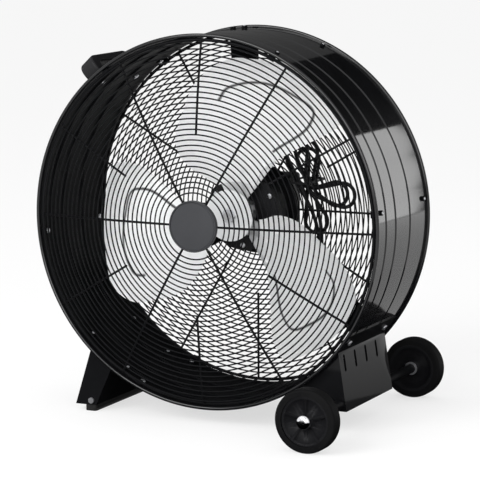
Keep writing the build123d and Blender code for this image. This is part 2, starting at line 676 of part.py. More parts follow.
def blade_spider():
    """The hub: boss, front disc and three bent arms that carry the blades."""
    near = BLADE_CURVE_RADIUS + BLADE_SHEET + WELD_CLEARANCE
    shape = sector(BOSS_RADIUS - SPIDER_SHEET, SPIDER_REACH, -SPIDER_HALF_ANGLE, SPIDER_HALF_ANGLE)
    arm = blade_sheet(near, near + SPIDER_SHEET, shape) - rivet_holes()
    spider = disc(BOSS_RADIUS, BOSS_FRONT, BOSS_FRONT + BOSS_LENGTH)
    spider += disc(HUB_DISC_RADIUS, HUB_DISC_FRONT, BOSS_FRONT)
    for angle in BLADE_ANGLES.values():
        spider += at_angle(arm, angle)
    spider -= disc(SHAFT_RADIUS + FIT_CLEARANCE, HUB_DISC_FRONT, BOSS_FRONT + BOSS_LENGTH)
    hole = Cylinder(SET_SCREW_RADIUS + FIT_CLEARANCE, BOSS_RADIUS, align=CENTRED)
    return spider - radial(hole, SHAFT_RADIUS, SET_SCREW_ANGLE, FAN_MIDDLE)


def blade_rivets():
    """Rivets through the blades and the arms behind them."""
    grip = BLADE_SHEET + WELD_CLEARANCE + SPIDER_SHEET
    rivets = []
    for radius, angle in RIVET_PLACES:
        point, normal = on_blade(radius, angle)
        front = Cylinder(RIVET_HEAD, RIVET_HEAD_HEIGHT, align=CENTRED)
        front = Pos(0, 0, WELD_CLEARANCE) * fillet(front.edges().sort_by(Axis.Z)[-1], RIVET_HEAD_ROUND)
        back = Pos(0, 0, -grip - RIVET_HEAD_HEIGHT) * Cylinder(RIVET_HEAD, RIVET_HEAD_HEIGHT, align=CENTRED)
        shank = Pos(0, 0, -grip) * Cylinder(RIVET_RADIUS, grip + WELD_CLEARANCE, align=CENTRED)
        rivet = placed(front + shank + back, point, normal)
        rivets += [at_angle(rivet, turn) for turn in BLADE_ANGLES.values()]
    return rivets


def hub_fasteners():
    """The nut on the shaft's front end, and the set screw in the boss."""
    cap = slab(hexagon(HUB_NUT_FLATS), HUB_DISC_FRONT - HUB_NUT_HEIGHT, HUB_DISC_FRONT)
    cap -= disc(SHAFT_RADIUS + FIT_CLEARANCE, HUB_DISC_FRONT - HUB_NUT_HEIGHT, HUB_DISC_FRONT)
    start = SHAFT_RADIUS + FIT_CLEARANCE
    pin = Cylinder(SET_SCREW_RADIUS, BOSS_RADIUS - start - THREAD_END, align=CENTRED)
    return [cap, radial(pin, start, SET_SCREW_ANGLE, FAN_MIDDLE)]


# ---- Motor ----
def motor_bell(face, way):
    """An end bell: a disc with a bearing seat on its inner side."""
    def across(outer, start, end):
        near, far = sorted((face + way * start, face + way * end))
        return disc(outer, near, far)

    boss_length = BEARING_LIP + BEARING_WIDTH
    bell = across(MOTOR_RADIUS, 0, MOTOR_WALL) + across(BELL_BOSS_RADIUS, 0, boss_length)
    bell -= across(BEARING_OUTER + FIT_CLEARANCE, BEARING_LIP, boss_length)
    bell -= across(SHAFT_RADIUS + BEARING_LIP, 0, BEARING_LIP)
    for angle in MOTOR_BOLT_ANGLES:
        x, over_axis = polar(MOTOR_BOLT_CIRCLE, angle)
        near, far = sorted((face, face + way * MOTOR_WALL))
        bell -= disc(SMALL_SCREW + HOLE_CLEARANCE, near, far, x, over_axis)
    return bell


def arm_bolt_places():
    """X and height over the axis of the bolts that hold the arms to the motor."""
    reach = math.hypot(ARM_BOLT_RADIUS, ARM_BOLT_SPREAD)
    turn = math.degrees(math.atan2(ARM_BOLT_SPREAD, ARM_BOLT_RADIUS))
    return [polar(reach, angle + side * turn) for angle in ARM_ANGLES.values() for side in (1, -1)]


def rear_bell():
    """The rear bell, with the holes for the arms' bolts."""
    holes = [disc(LARGE_SCREW + HOLE_CLEARANCE, MOTOR_BACK - MOTOR_WALL, MOTOR_BACK, x, z)
             for x, z in arm_bolt_places()]
    return motor_bell(MOTOR_BACK, -1) - holes


def motor_bolts():
    """Long screws that hold both bells on the housing, through the core."""
    pin = screw(SMALL_SCREW, MOTOR_LENGTH - THREAD_END, SMALL_HEAD, SMALL_HEAD_HEIGHT)
    places = [polar(MOTOR_BOLT_CIRCLE, angle) for angle in MOTOR_BOLT_ANGLES]
    return [placed(pin, (x, MOTOR_FRONT, AXIS_HEIGHT + z), (0, 1, 0)) for x, z in places]


def stator_core():
    """The laminated core, with holes for the long screws."""
    half = CORE_LENGTH / 2
    core = pipe(MOTOR_RADIUS - MOTOR_WALL - FIT_CLEARANCE, ROTOR_RADIUS + AIR_GAP,
                CORE_MIDDLE - half, CORE_MIDDLE + half)
    for angle in MOTOR_BOLT_ANGLES:
        x, z = polar(MOTOR_BOLT_CIRCLE, angle)
        core -= disc(SMALL_SCREW + HOLE_CLEARANCE, CORE_MIDDLE - half, CORE_MIDDLE + half, x, z)
    return core


def stator_windings():
    """The ends of the windings before and behind the core."""
    inner, outer = WINDING_RADII
    before = CORE_MIDDLE - CORE_LENGTH / 2
    behind = CORE_MIDDLE + CORE_LENGTH / 2
    return [pipe(outer, inner, before - WINDING_LENGTH, before),
            pipe(outer, inner, behind, behind + WINDING_LENGTH)]


def motor_bearings():
    """The two ball bearings, each as its outer size and bore."""
    inner = SHAFT_RADIUS + RUNNING_CLEARANCE
    front = MOTOR_FRONT + BEARING_LIP
    rear = MOTOR_BACK - BEARING_LIP - BEARING_WIDTH
    return [pipe(BEARING_OUTER, inner, start, start + BEARING_WIDTH) for start in (front, rear)]


def motor_plate():
    """The plate between the motor and its arms."""
    plate = pipe(MOTOR_PLATE_RADIUS, SHAFT_RADIUS + BEARING_LIP, MOTOR_BACK, ARM_FRONT)
    for x, z in arm_bolt_places():
        plate -= disc(LARGE_SCREW + HOLE_CLEARANCE, MOTOR_BACK, ARM_FRONT, x, z)
    return plate


def motor_arm():
    """An arm from the motor plate to the drum's wall, at angle 0, with a curved end flange."""
    outer = SHELL_INNER - CLIP_SEAT_CLEARANCE
    inner = outer - ARM_FLANGE_SHEET
    half = ARM_WIDTH / 2
    arm = block((ARM_INNER_END, inner + ARM_OVERLAP), (ARM_FRONT, ARM_BACK), (-half, half))
    arm += slab(sector(inner, outer, -ARM_FLANGE_ANGLE, ARM_FLANGE_ANGLE),
                ARM_BACK - ARM_FLANGE_DEPTH, ARM_BACK)
    for side in (1, -1):
        place = ARM_BOLT_RADIUS, side * ARM_BOLT_SPREAD
        arm -= disc(LARGE_SCREW + HOLE_CLEARANCE, ARM_FRONT, ARM_BACK, *place)
        hole = bore(LARGE_SCREW, HOLE_REACH)
        arm -= radial(hole, inner, side * ARM_SCREW_ANGLE, REAR_RIM - ARM_SCREW_BEFORE_RIM)
    return arm


def arm_bolts():
    """Bolts through each arm, the plate and the rear bell."""
    bolt = hex_bolt(LARGE_SCREW, ARM_BACK - MOTOR_BACK + MOTOR_WALL, LARGE_NUT_FLATS, LARGE_HEAD_HEIGHT)
    return [placed(bolt, (x, ARM_BACK, AXIS_HEIGHT + z), (0, -1, 0)) for x, z in arm_bolt_places()]


# ---- Screws and nuts in the drum's wall and the end plates ----
def frame_screws():
    """Screws of the motor arms from inside the drum, and of the brackets from outside."""
    arm_seat = SHELL_INNER - CLIP_SEAT_CLEARANCE - ARM_FLANGE_SHEET
    long_end = LARGE_NUT_HEIGHT + THREAD_END
    inner = screw(LARGE_SCREW, SHELL_OUTER - arm_seat + long_end, LARGE_HEAD, LARGE_HEAD_HEIGHT)
    outer = screw(LARGE_SCREW, FLANGE_OUTER - SHELL_INNER + long_end, LARGE_HEAD, LARGE_HEAD_HEIGHT)
    screws = [radial(inner, arm_seat - WELD_CLEARANCE, angle, y) for angle, y in arm_screw_places()]
    return screws + [radial(outer, FLANGE_OUTER, angle, y, outward=False)
                     for angle, y in bracket_screw_places()]


def frame_nuts():
    """The nuts of the frame screws and of the end plates' bolts."""
    cap = nut(LARGE_SCREW, LARGE_NUT_FLATS, LARGE_NUT_HEIGHT)
    nuts = [radial(cap, SHELL_OUTER, angle, y) for angle, y in arm_screw_places()]
    nuts += [radial(cap, SHELL_INNER - WELD_CLEARANCE, angle, y, outward=False)
             for angle, y in bracket_screw_places()]
    inner = BRACKET_END - BRACKET_SHEET
    for x, z in end_bolt_places():
        nuts += [placed(cap, (x, side * inner, AXIS_HEIGHT + z), (0, -side, 0)) for side in (1, -1)]
    return nuts


def end_bolt_places():
    """X and height over the axis of the bolt in each end plate of the foot and the bracket."""
    foot = foot_corners()[2]
    bracket = bracket_corners()[2]
    return [(foot[0] - END_BOLT_INSET, foot[1] + END_BOLT_RISE),
            (bracket[0] + BRACKET_BOLT_INSET, bracket[1] + BRACKET_BOLT_RISE)]


def end_plate_bolts():
    """A bolt in each end plate."""
    bolt = hex_bolt(LARGE_SCREW, BRACKET_SHEET + LARGE_NUT_HEIGHT + THREAD_END, LARGE_NUT_FLATS,
                    LARGE_HEAD_HEIGHT)
    return [placed(bolt, (x, side * BRACKET_END, AXIS_HEIGHT + z), (0, -side, 0))
            for x, z in end_bolt_places() for side in (1, -1)]


# ---- Control box ----
def box_section(inset):
    """The box's outline, inset by a distance, as a sketch."""
    middle = Pos(0, (BOX_TOP + BOX_BOTTOM) / 2)
    width = 2 * (BOX_HALF_WIDTH - inset)
    height = BOX_TOP - BOX_BOTTOM - 2 * inset
    return middle * RectangleRounded(width, height, BOX_CORNER - inset)


def box_post_places():
    """X and height over the axis of the box's four screw posts."""
    x = BOX_HALF_WIDTH - BOX_POST_INSET
    heights = (BOX_TOP - BOX_POST_INSET, BOX_BOTTOM + BOX_POST_INSET)
    return [(side * x, z) for side in (1, -1) for z in heights]


def neck_screw_places():
    """X and height over the axis of the screws between the neck and the box."""
    return [polar(NECK_SCREW_CIRCLE, angle) for angle in MOTOR_BOLT_ANGLES]


def box_neck():
    """The tube through the rear guard that carries the box, with a flange for its screws."""
    inner = NECK_RADIUS - NECK_WALL
    neck = pipe(NECK_RADIUS, inner, ARM_FRONT, BOX_FRONT)
    neck += pipe(NECK_RADIUS, NECK_FLANGE_INNER, BOX_FRONT - NECK_FLANGE_THICKNESS, BOX_FRONT)
    for x, z in neck_screw_places():
        neck -= disc(TINY_SCREW + HOLE_CLEARANCE, BOX_FRONT - NECK_FLANGE_THICKNESS, BOX_FRONT, x, z)
    return neck


def control_box():
    """The box: front wall, sides and four screw posts, open at the rear."""
    box = slab(box_section(0), BOX_FRONT, BOX_BACK)
    box -= slab(box_section(BOX_WALL), BOX_FRONT + BOX_WALL, BOX_BACK)
    for x, z in box_post_places():
        box += disc(BOX_POST, BOX_FRONT + BOX_WALL, BOX_BACK, x, z)
        box -= disc(TINY_SCREW + HOLE_CLEARANCE, BOX_BACK - BOX_DEPTH / 2, BOX_BACK, x, z)
    for x, z in neck_screw_places():
        box -= disc(TINY_SCREW + HOLE_CLEARANCE, BOX_FRONT, BOX_FRONT + BOX_WALL, x, z)
    box -= disc(SHAFT_RADIUS, BOX_FRONT, BOX_FRONT + BOX_WALL)
    hole = Cylinder(GLAND_THREAD + HOLE_CLEARANCE, GLAND_HOLE_DEPTH)
    return box - Pos(GLAND_X, GLAND_Y, AXIS_HEIGHT + BOX_BOTTOM) * hole


def box_cover():
    """The cover on the rear of the box, with its holes."""
    cover = slab(box_section(0), BOX_BACK, COVER_BACK)
    for x, z in box_post_places():
        cover -= disc(TINY_SCREW + HOLE_CLEARANCE, BOX_BACK, COVER_BACK, x, z)
    return cover - disc(SWITCH_BUSH + HOLE_CLEARANCE, BOX_BACK, COVER_BACK, SWITCH_X, SWITCH_HEIGHT)


def box_screws():
    """The cover's screws, and those that hold the box on its neck."""
    cover_pin = screw(TINY_SCREW, COVER_SCREW_LENGTH, TINY_HEAD, TINY_HEAD_HEIGHT)
    neck_pin = screw(TINY_SCREW, BOX_WALL + NECK_FLANGE_THICKNESS + THREAD_END, TINY_HEAD,
                     TINY_HEAD_HEIGHT)
    forward = (0, -1, 0)
    pins = [placed(cover_pin, (x, COVER_BACK, AXIS_HEIGHT + z), forward) for x, z in box_post_places()]
    return pins + [placed(neck_pin, (x, BOX_FRONT + BOX_WALL, AXIS_HEIGHT + z), forward)
                   for x, z in neck_screw_places()]


def run_capacitor():
    """The capacitor, upright against the box's front wall."""
    x, middle = CAPACITOR_PLACE
    y = BOX_FRONT + BOX_WALL + CAPACITOR_RADIUS + WELD_CLEARANCE
    can = Cylinder(CAPACITOR_RADIUS, CAPACITOR_LENGTH)
    return Pos(x, y, AXIS_HEIGHT + middle) * fillet(can.edges(), BOX_WALL)


def speed_switch():
    """The rotary switch behind the cover, with its bush and shaft through it."""
    switch = block((SWITCH_X - SWITCH_BODY, SWITCH_X + SWITCH_BODY), (BOX_BACK - SWITCH_DEPTH, BOX_BACK),
                   (SWITCH_HEIGHT - SWITCH_BODY, SWITCH_HEIGHT + SWITCH_BODY))
    switch += disc(SWITCH_BUSH, BOX_BACK, COVER_BACK, SWITCH_X, SWITCH_HEIGHT)
    return switch + disc(SWITCH_SHAFT, BOX_BACK, KNOB_FRONT + KNOB_BORE_DEPTH, SWITCH_X, SWITCH_HEIGHT)


def speed_knob():
    """The knob: a round skirt with a grip bar across it, bored for the switch's shaft."""
    skirt_back = KNOB_FRONT + KNOB_SKIRT
    knob_back = KNOB_FRONT + KNOB_HEIGHT
    skirt = disc(KNOB_RADIUS, KNOB_FRONT, skirt_back, SWITCH_X, SWITCH_HEIGHT)
    bar = Pos(SWITCH_X, SWITCH_HEIGHT) * Rot(0, 0, KNOB_REST_ANGLE) * SlotOverall(
        2 * (KNOB_RADIUS - BOX_WALL), KNOB_BAR_WIDTH)
    grip = slab(bar, KNOB_FRONT, knob_back)
    grip = fillet(grip.faces().sort_by(Axis.Y)[-1].edges(), THREAD_END)
    bore_end = KNOB_FRONT + KNOB_BORE_DEPTH + END_PLAY
    return skirt + grip - disc(SWITCH_SHAFT + RUNNING_CLEARANCE, KNOB_FRONT, bore_end, SWITCH_X,
                               SWITCH_HEIGHT)


def cord_gland():
    """The gland under the box, with a tapered strain relief that points down."""
    inner_end = BOX_BOTTOM + BOX_WALL + GLAND_FLANGE_HEIGHT
    flange_bottom = BOX_BOTTOM - GLAND_FLANGE_HEIGHT
    outline = [(0, inner_end), (GLAND_THREAD, inner_end), (GLAND_THREAD, BOX_BOTTOM),
               (GLAND_FLANGE, BOX_BOTTOM), (GLAND_FLANGE, flange_bottom),
               (2 * CORD_RADIUS, flange_bottom), (CORD_RADIUS + CLIP_SHEET, GLAND_BOTTOM),
               (0, GLAND_BOTTOM)]
    section = make_face(Polyline(outline, close=True))
    upright = Plane(origin=(GLAND_X, GLAND_Y, AXIS_HEIGHT), x_dir=(1, 0, 0), z_dir=(0, -1, 0))
    return revolve(upright * section, Axis((GLAND_X, GLAND_Y, AXIS_HEIGHT), (0, 0, 1)))


# ---- Cord ----
def route_point(x, behind_rim, over_axis):
    """A point of the cord's route."""
    return Vector(x, REAR_RIM + behind_rim, AXIS_HEIGHT + over_axis)


def turn_between(before, corner, after):
    """Angle in radians by which a route turns at a corner."""
    return math.radians((corner - before).get_angle(after - corner))


def eased_radii(points):
    """The radius at each corner of a free route: as large as its shorter run allows."""
    radii = []
    for before, corner, after in zip(points, points[1:], points[2:]):
        run = min((corner - before).length, (after - corner).length)
        radii.append(0.45 * run / math.tan(turn_between(before, corner, after) / 2))
    return radii


def crossing(number):
    """The point where the hank crosses itself before the loop of a number."""
    x, over_axis = HANK_CENTRE
    return route_point(x, HANK_BEHIND_RIM + LAYER_PITCH * (number - 0.5), over_axis)


def loop_corners(number):
    """The two far corners of a loop whose legs run straight from the crossing to its round end."""
    angle, length, side = LOOPS[number]
    opening = math.asin(FOLD_RADIUS / (length - FOLD_RADIUS))
    half = LOOP_SLACK * FOLD_RADIUS * math.tan(math.pi / 4 + opening / 2)
    along = polar(length, angle)
    aside = polar(side * half, angle + 90)
    x, over_axis = HANK_CENTRE
    behind = HANK_BEHIND_RIM + LAYER_PITCH * number
    return [route_point(x + along[0] + way * aside[0], behind, over_axis + along[1] + way * aside[1])
            for way in (1, -1)]


def hank_end(crossing_point, inner, outer):
    """End of the hank on the run from its first or last crossing to the free route."""
    tangent = CROSSING_RADIUS * math.tan(turn_between(inner, crossing_point, outer) / 2)
    return crossing_point + (outer - crossing_point).normalized() * (END_RUN + tangent)


def cord_routes():
    """Points and corner radii of the lead, the hank and the tail."""
    exit_point = Vector(GLAND_X, GLAND_Y, AXIS_HEIGHT + GLAND_BOTTOM)
    lead = [exit_point] + [route_point(*point) for point in LEAD_POINTS]
    tail = [route_point(*point) for point in TAIL_POINTS]
    turns = [crossing(0)]
    radii = [CROSSING_RADIUS]
    for number in range(len(LOOPS)):
        turns += loop_corners(number) + [crossing(number + 1)]
        radii += [FOLD_RADIUS, FOLD_RADIUS, CROSSING_RADIUS]
    start = hank_end(turns[0], turns[1], lead[-1])
    end = hank_end(turns[-1], turns[-2], tail[0])
    lead = lead + [start]
    tail = [end] + tail
    return {"power_cord": (lead, eased_radii(lead)), "cord_hank": ([start] + turns + [end], radii),
            "cord_tail": (tail, eased_radii(tail))}


def cord_tube(name, points, radii):
    """The cord along a route, with its radii, length and volume printed."""
    path = FilletPolyline(*points, radius=radii)
    tube = sweep(Plane(origin=path @ 0, z_dir=path % 0) * Circle(CORD_RADIUS), path=path)
    expected = math.pi * CORD_RADIUS ** 2 * path.length
    print(name, "radii", [round(radius, 1) for radius in radii])
    print(name, "length", round(path.length, 1), "volume over section x length",
          round(tube.volume / expected, 4))
    return path, tube


def print_least_gap(name, path):
    """Prints the least gap between stretches of a tube that lie further apart along it."""
    count = int(path.length / GAP_STEP)
    points = path.positions([n / count for n in range(count + 1)])
    skip = int(GAP_SKIP / GAP_STEP)
    least = min((points[m] - points[n]).length
                for n in range(len(points)) for m in range(n + skip, len(points)))
    print(name, "least gap to itself", round(least - 2 * CORD_RADIUS, 2))


def cord_tie():
    """The strap round the hank and between the rings of the rear guard."""
    over_axis = HANK_CENTRE[1] + TIE_OVER_CENTRE
    sides = []
    for gap in TIE_RING_GAPS:
        radius = REAR_FIRST_RING + (gap + 0.5) * RING_PITCH
        sides.append(math.sqrt(radius ** 2 - over_axis ** 2))
    left, right = sides
    front = REAR_SPOKE_Y - SPOKE_WIRE - 2 * TIE_THICKNESS
    back = crossing(len(LOOPS)).Y + CORD_RADIUS + TIE_THICKNESS
    loop = RectangleRounded(right - left + TIE_THICKNESS, back - front, TIE_CORNER)
    loop -= RectangleRounded(right - left - TIE_THICKNESS, back - front - 2 * TIE_THICKNESS,
                             TIE_CORNER - TIE_THICKNESS)
    place = Pos((left + right) / 2, (front + back) / 2, AXIS_HEIGHT + over_axis)
    return place * extrude(loop, TIE_WIDTH / 2, both=True)


def power_plug():
    """The plug at the end of the tail: strain relief, body and three pins, pointing down."""
    x, behind_rim, over_axis = TAIL_POINTS[-1]
    top = route_point(x, behind_rim, over_axis)
    relief = Cone(2 * CORD_RADIUS, CORD_RADIUS + CLIP_SHEET, PLUG_RELIEF_LENGTH, align=CENTRED)
    relief = Pos(0, 0, -PLUG_RELIEF_LENGTH) * relief
    wide = Pos(0, 0, -PLUG_RELIEF_LENGTH - PLUG_HEIGHT) * RectangleRounded(
        PLUG_WIDTH, PLUG_DEPTH, PLUG_CORNER)
    body = extrude(wide, PLUG_HEIGHT, taper=PLUG_TAPER)
    pins = Pos(0, PLUG_EARTH_OFFSET) * Circle(PLUG_EARTH_RADIUS)
    for side in (1, -1):
        pins += Pos(side * PLUG_BLADE_SIDE, -PLUG_BLADE_OFFSET) * Rectangle(CLIP_SHEET, PLUG_BLADE_WIDTH)
    prongs = extrude(Pos(0, 0, -PLUG_RELIEF_LENGTH - PLUG_HEIGHT) * pins, -PLUG_RELIEF_LENGTH)
    return Pos(top) * (relief + body + prongs)


# ---- Handle ----
def handle_plane():
    """A plane through the drum axis at the handle's angle: radius along its x, Y along its y."""
    along = polar(1, HANDLE_ANGLE)
    across = polar(1, HANDLE_ANGLE + 90)
    return Plane(origin=(0, 0, AXIS_HEIGHT), x_dir=(along[0], 0, along[1]), z_dir=(across[0], 0, across[1]))


def handle_grip():
    """The arched handle, with rounded corners and edges, and holes for its screws."""
    seat = SHELL_OUTER + HANDLE_SEAT
    top = SHELL_OUTER + HANDLE_RISE
    half = (HANDLE_SPREAD + HANDLE_FOOT) / 2
    arch = Pos((seat + top) / 2, 0) * Rectangle(top - seat, 2 * half)
    arch = fillet(arch.vertices().sort_by(Axis.X)[-2:], HANDLE_OUTER_CORNER)
    inner_half = half - HANDLE_FOOT
    hole = Pos((seat + top - HANDLE_BAR) / 2, 0) * Rectangle(top - HANDLE_BAR - seat, 2 * inner_half)
    hole = fillet(hole.vertices().sort_by(Axis.X)[-2:], HANDLE_INNER_CORNER)
    grip = extrude(arch - hole, HANDLE_WIDTH / 2, both=True)
    sides = grip.faces().sort_by(Axis.Z)
    edges = [edge for face in (sides[0], sides[-1]) for edge in face.edges()
             if edge.center().X > seat + HANDLE_EDGE]
    grip = handle_plane().location * fillet(edges, HANDLE_EDGE)
    return grip - [radial(bore(LARGE_SCREW, HANDLE_SCREW_DEPTH), seat, angle, y)
                   for angle, y in handle_screw_places()]


def handle_seats():
    """The two blocks between the drum's curve and the handle's flat feet."""
    half = HANDLE_WIDTH / 2
    top = SHELL_OUTER + HANDLE_SEAT
    base = SHELL_OUTER - HANDLE_SEAT
    seats = []
    for angle, y in handle_screw_places():
        sketch = Pos((base + top) / 2, y) * Rectangle(top - base, HANDLE_FOOT)
        seat = handle_plane().location * extrude(sketch, half, both=True)
        seat -= disc(SHELL_OUTER + WELD_CLEARANCE, FRONT_RIM, REAR_RIM)
        seats.append(seat - radial(bore(LARGE_SCREW, HANDLE_SEAT), top, angle, y))
    return seats


def handle_screws():
    """The handle's screws, with their heads inside the drum."""
    length = SHELL_OUTER + HANDLE_SEAT - SHELL_INNER + HANDLE_SCREW_DEPTH - THREAD_END
    pin = screw(LARGE_SCREW, length, LARGE_HEAD, LARGE_HEAD_HEIGHT)
    return [radial(pin, SHELL_INNER - WELD_CLEARANCE, angle, y) for angle, y in handle_screw_places()]


# ---- Foot and wheel bracket ----
def foot_corners():
    """Corners of the foot's section: outer top, outer bottom, inner bottom, inner top."""
    outer = polar(SHELL_OUTER, FOOT_OUTER_ANGLE)
    inner = polar(SHELL_OUTER, FOOT_INNER_ANGLE)
    bottom = FLOOR + RAIL_HEIGHT
    return [outer, (outer[0] - FOOT_OUTER_SPREAD, bottom), (inner[0] - FOOT_INNER_SPREAD, bottom), inner]


def bracket_corners():
    """Corners of the wheel bracket's section, in the same order as the foot's."""
    outer = polar(SHELL_OUTER, WHEEL_OUTER_ANGLE)
    inner = polar(SHELL_OUTER, WHEEL_INNER_ANGLE)
    bottom = FLOOR + BRACKET_OVER_FLOOR
    return [outer, (outer[0] + WHEEL_OUTER_SPREAD, bottom), (inner[0] + WHEEL_INNER_SPREAD, bottom), inner]


def axle_place():
    """X and height over the drum axis of the axle."""
    return bracket_corners()[1][0] - AXLE_FROM_CORNER, FLOOR + WHEEL_RADIUS


def drum_flanges(outer_angle, inner_angle, ends):
    """The flanges by which a bracket is screwed to the drum."""
    sheet_angle = math.degrees(BRACKET_SHEET / SHELL_OUTER)
    flanges = sector(FLANGE_INNER, FLANGE_OUTER, ends[0], outer_angle
                     + math.copysign(sheet_angle, inner_angle - outer_angle))
    return flanges + sector(FLANGE_INNER, FLANGE_OUTER, ends[1], inner_angle
                            + math.copysign(sheet_angle, outer_angle - inner_angle))


def bracket_body(plates, corners, flanges, screw_angles):
    """Folded plates, flanges and end plates as one piece, trimmed and drilled at the drum."""
    body = slab(plates + flanges, -BRACKET_END, BRACKET_END)
    end_face = make_face(Polyline(corners, close=True))
    body += slab(end_face, BRACKET_END - BRACKET_SHEET, BRACKET_END)
    body += slab(end_face, -BRACKET_END, BRACKET_SHEET - BRACKET_END)
    body -= disc(FLANGE_INNER, -BRACKET_END, BRACKET_END)
    holes = [radial(bore(LARGE_SCREW, HOLE_REACH), FLANGE_INNER, angle, y)
             for angle, y in bracket_screw_places() if angle in screw_angles]
    x, z = end_bolt_places()[0 if screw_angles == FOOT_SCREW_ANGLES else 1]
    holes.append(disc(LARGE_SCREW + HOLE_CLEARANCE, -BRACKET_END, BRACKET_END, x, z))
    return body - holes


def foot_bracket():
    """The folded foot on the left, with closed ends."""
    corners = foot_corners()
    flanges = drum_flanges(FOOT_OUTER_ANGLE, FOOT_INNER_ANGLE, FOOT_FLANGE_ENDS)
    return bracket_body(folded(corners, BRACKET_SHEET), corners, flanges, FOOT_SCREW_ANGLES)


def foot_rail():
    """The rubber rail under the foot."""
    right = foot_corners()[2][0]
    rail = block((right - RAIL_WIDTH, right), (-BRACKET_END, BRACKET_END), (FLOOR, FLOOR + RAIL_HEIGHT))
    return fillet(rail.edges().filter_by(Axis.Z), RAIL_END_ROUNDING)


def wheel_bracket():
    """The folded wheel bracket on the right: closed ends, open bottom, four slots."""
    corners = bracket_corners()
    outer, outer_foot, inner_foot, inner = corners
    outer_lip = (outer_foot[0] - BRACKET_LIP, outer_foot[1])
    inner_lip = (inner_foot[0] + BRACKET_LIP, inner_foot[1])
    plates = folded([outer_lip, outer_foot, outer], BRACKET_SHEET)
    plates += folded([inner, inner_foot, inner_lip], BRACKET_SHEET)
    flanges = drum_flanges(WHEEL_OUTER_ANGLE, WHEEL_INNER_ANGLE, WHEEL_FLANGE_ENDS)
    body = bracket_body(plates, corners, flanges, WHEEL_SCREW_ANGLES)
    for place in SLOT_PLACES:
        origin = (outer_foot[0], FRONT_RIM + place, SLOT_OVER_FLOOR)
        face = Plane(origin=origin, x_dir=(0, 0, 1), z_dir=(1, 0, 0)) * SlotOverall(SLOT_LENGTH, SLOT_WIDTH)
        body -= extrude(face, 2 * BRACKET_LIP, both=True)
    x, z = axle_place()
    return body - disc(AXLE_RADIUS + RUNNING_CLEARANCE, -BRACKET_END, BRACKET_END, x, z)


# ---- Wheels ----
def wheel_range(side, start, end):
    """Two distances from the middle of the axle, as an ordered pair of depths on one side."""
    return sorted((side * start, side * end))


def wheel_rim(side):
    """A wheel's rim: hub, dished web with ribs, and the ring that holds the tyre."""
    x, z = axle_place()
    ring_outer = WHEEL_RADIUS - TYRE_HEIGHT
    web = wheel_range(side, WHEEL_OUTER_FACE - RIM_DISH - RIM_WEB, WHEEL_OUTER_FACE - RIM_DISH)
    full = wheel_range(side, WHEEL_INNER_FACE, WHEEL_OUTER_FACE - BEAD_RADIUS)
    hub = wheel_range(side, WHEEL_INNER_FACE, HUB_OUTER_FACE)
    rim = pipe(ring_outer, ring_outer - RIM_RING, *full, x, z) + disc(ring_outer - THREAD_END, *web, x, z)
    rim += disc(HUB_RADIUS, *hub, x, z)
    rib_range = wheel_range(side, WHEEL_OUTER_FACE - RIM_DISH - THREAD_END, WHEEL_OUTER_FACE - RIM_DISH / 2)
    for number in range(WHEEL_RIBS):
        reach = Pos((ring_outer + HUB_RADIUS) / 2 - THREAD_END, 0)
        rib = Rot(0, 0, 90 + number * 360 / WHEEL_RIBS) * reach * Rectangle(
            ring_outer - HUB_RADIUS - RIM_RING, RIM_WEB)
        rim += slab(Pos(x, z) * rib, *rib_range)
    return rim - disc(AXLE_RADIUS + RUNNING_CLEARANCE, *hub, x, z)


def wheel_tyre(side):
    """A wheel's tyre, with rounded shoulders."""
    x, z = axle_place()
    tyre = pipe(WHEEL_RADIUS, WHEEL_RADIUS - TYRE_HEIGHT + FIT_CLEARANCE,
                *wheel_range(side, WHEEL_INNER_FACE, WHEEL_OUTER_FACE), x, z)
    rounds = tyre.edges().filter_by(GeomType.CIRCLE).group_by(SortBy.RADIUS)[-1]
    return fillet(rounds, TYRE_ROUNDING)


def axle():
    """The axle through the bracket and both wheels."""
    x, z = axle_place()
    end = HUB_OUTER_FACE + WASHER_THICKNESS + AXLE_IN_CAP
    return disc(AXLE_RADIUS, -end, end, x, z)


def axle_spacers():
    """Tubes on the axle between the bracket and the wheels' inner washers."""
    x, z = axle_place()
    inner = AXLE_RADIUS + RUNNING_CLEARANCE
    far = WHEEL_INNER_FACE - WASHER_THICKNESS - 2 * END_PLAY
    return [pipe(inner + SPACER_WALL, inner, *wheel_range(side, BRACKET_END, far), x, z) for side in (1, -1)]


def axle_washers():
    """A washer on each side of each wheel."""
    x, z = axle_place()
    inner = AXLE_RADIUS + RUNNING_CLEARANCE
    starts = (WHEEL_INNER_FACE - WASHER_THICKNESS - END_PLAY, HUB_OUTER_FACE + END_PLAY)
    return [pipe(WASHER_RADIUS, inner, *wheel_range(side, start, start + WASHER_THICKNESS), x, z)
            for side in (1, -1) for start in starts]


def cap_nuts():
    """The domed nuts on both ends of the axle."""
    x, z = axle_place()
    start = HUB_OUTER_FACE + WASHER_THICKNESS + END_PLAY
    end = HUB_OUTER_FACE + WASHER_THICKNESS + AXLE_IN_CAP
    caps = []
    for side in (1, -1):
        cap = disc(CAP_RADIUS, *wheel_range(side, start, start + CAP_COLLAR + CAP_DOME), x, z)
        face = cap.faces().sort_by(Axis.Y)[0 if side < 0 else -1]
        cap = fillet(face.edges(), CAP_DOME)
        caps.append(cap - disc(AXLE_RADIUS + FIT_CLEARANCE, *wheel_range(side, start, end + END_PLAY), x, z))
    return caps


# ---- The whole fan, one shape for each node ----
def group(shapes):
    """Several separate pieces as one shape."""
    return Compound([solid for shape in shapes for solid in shape.solids()])


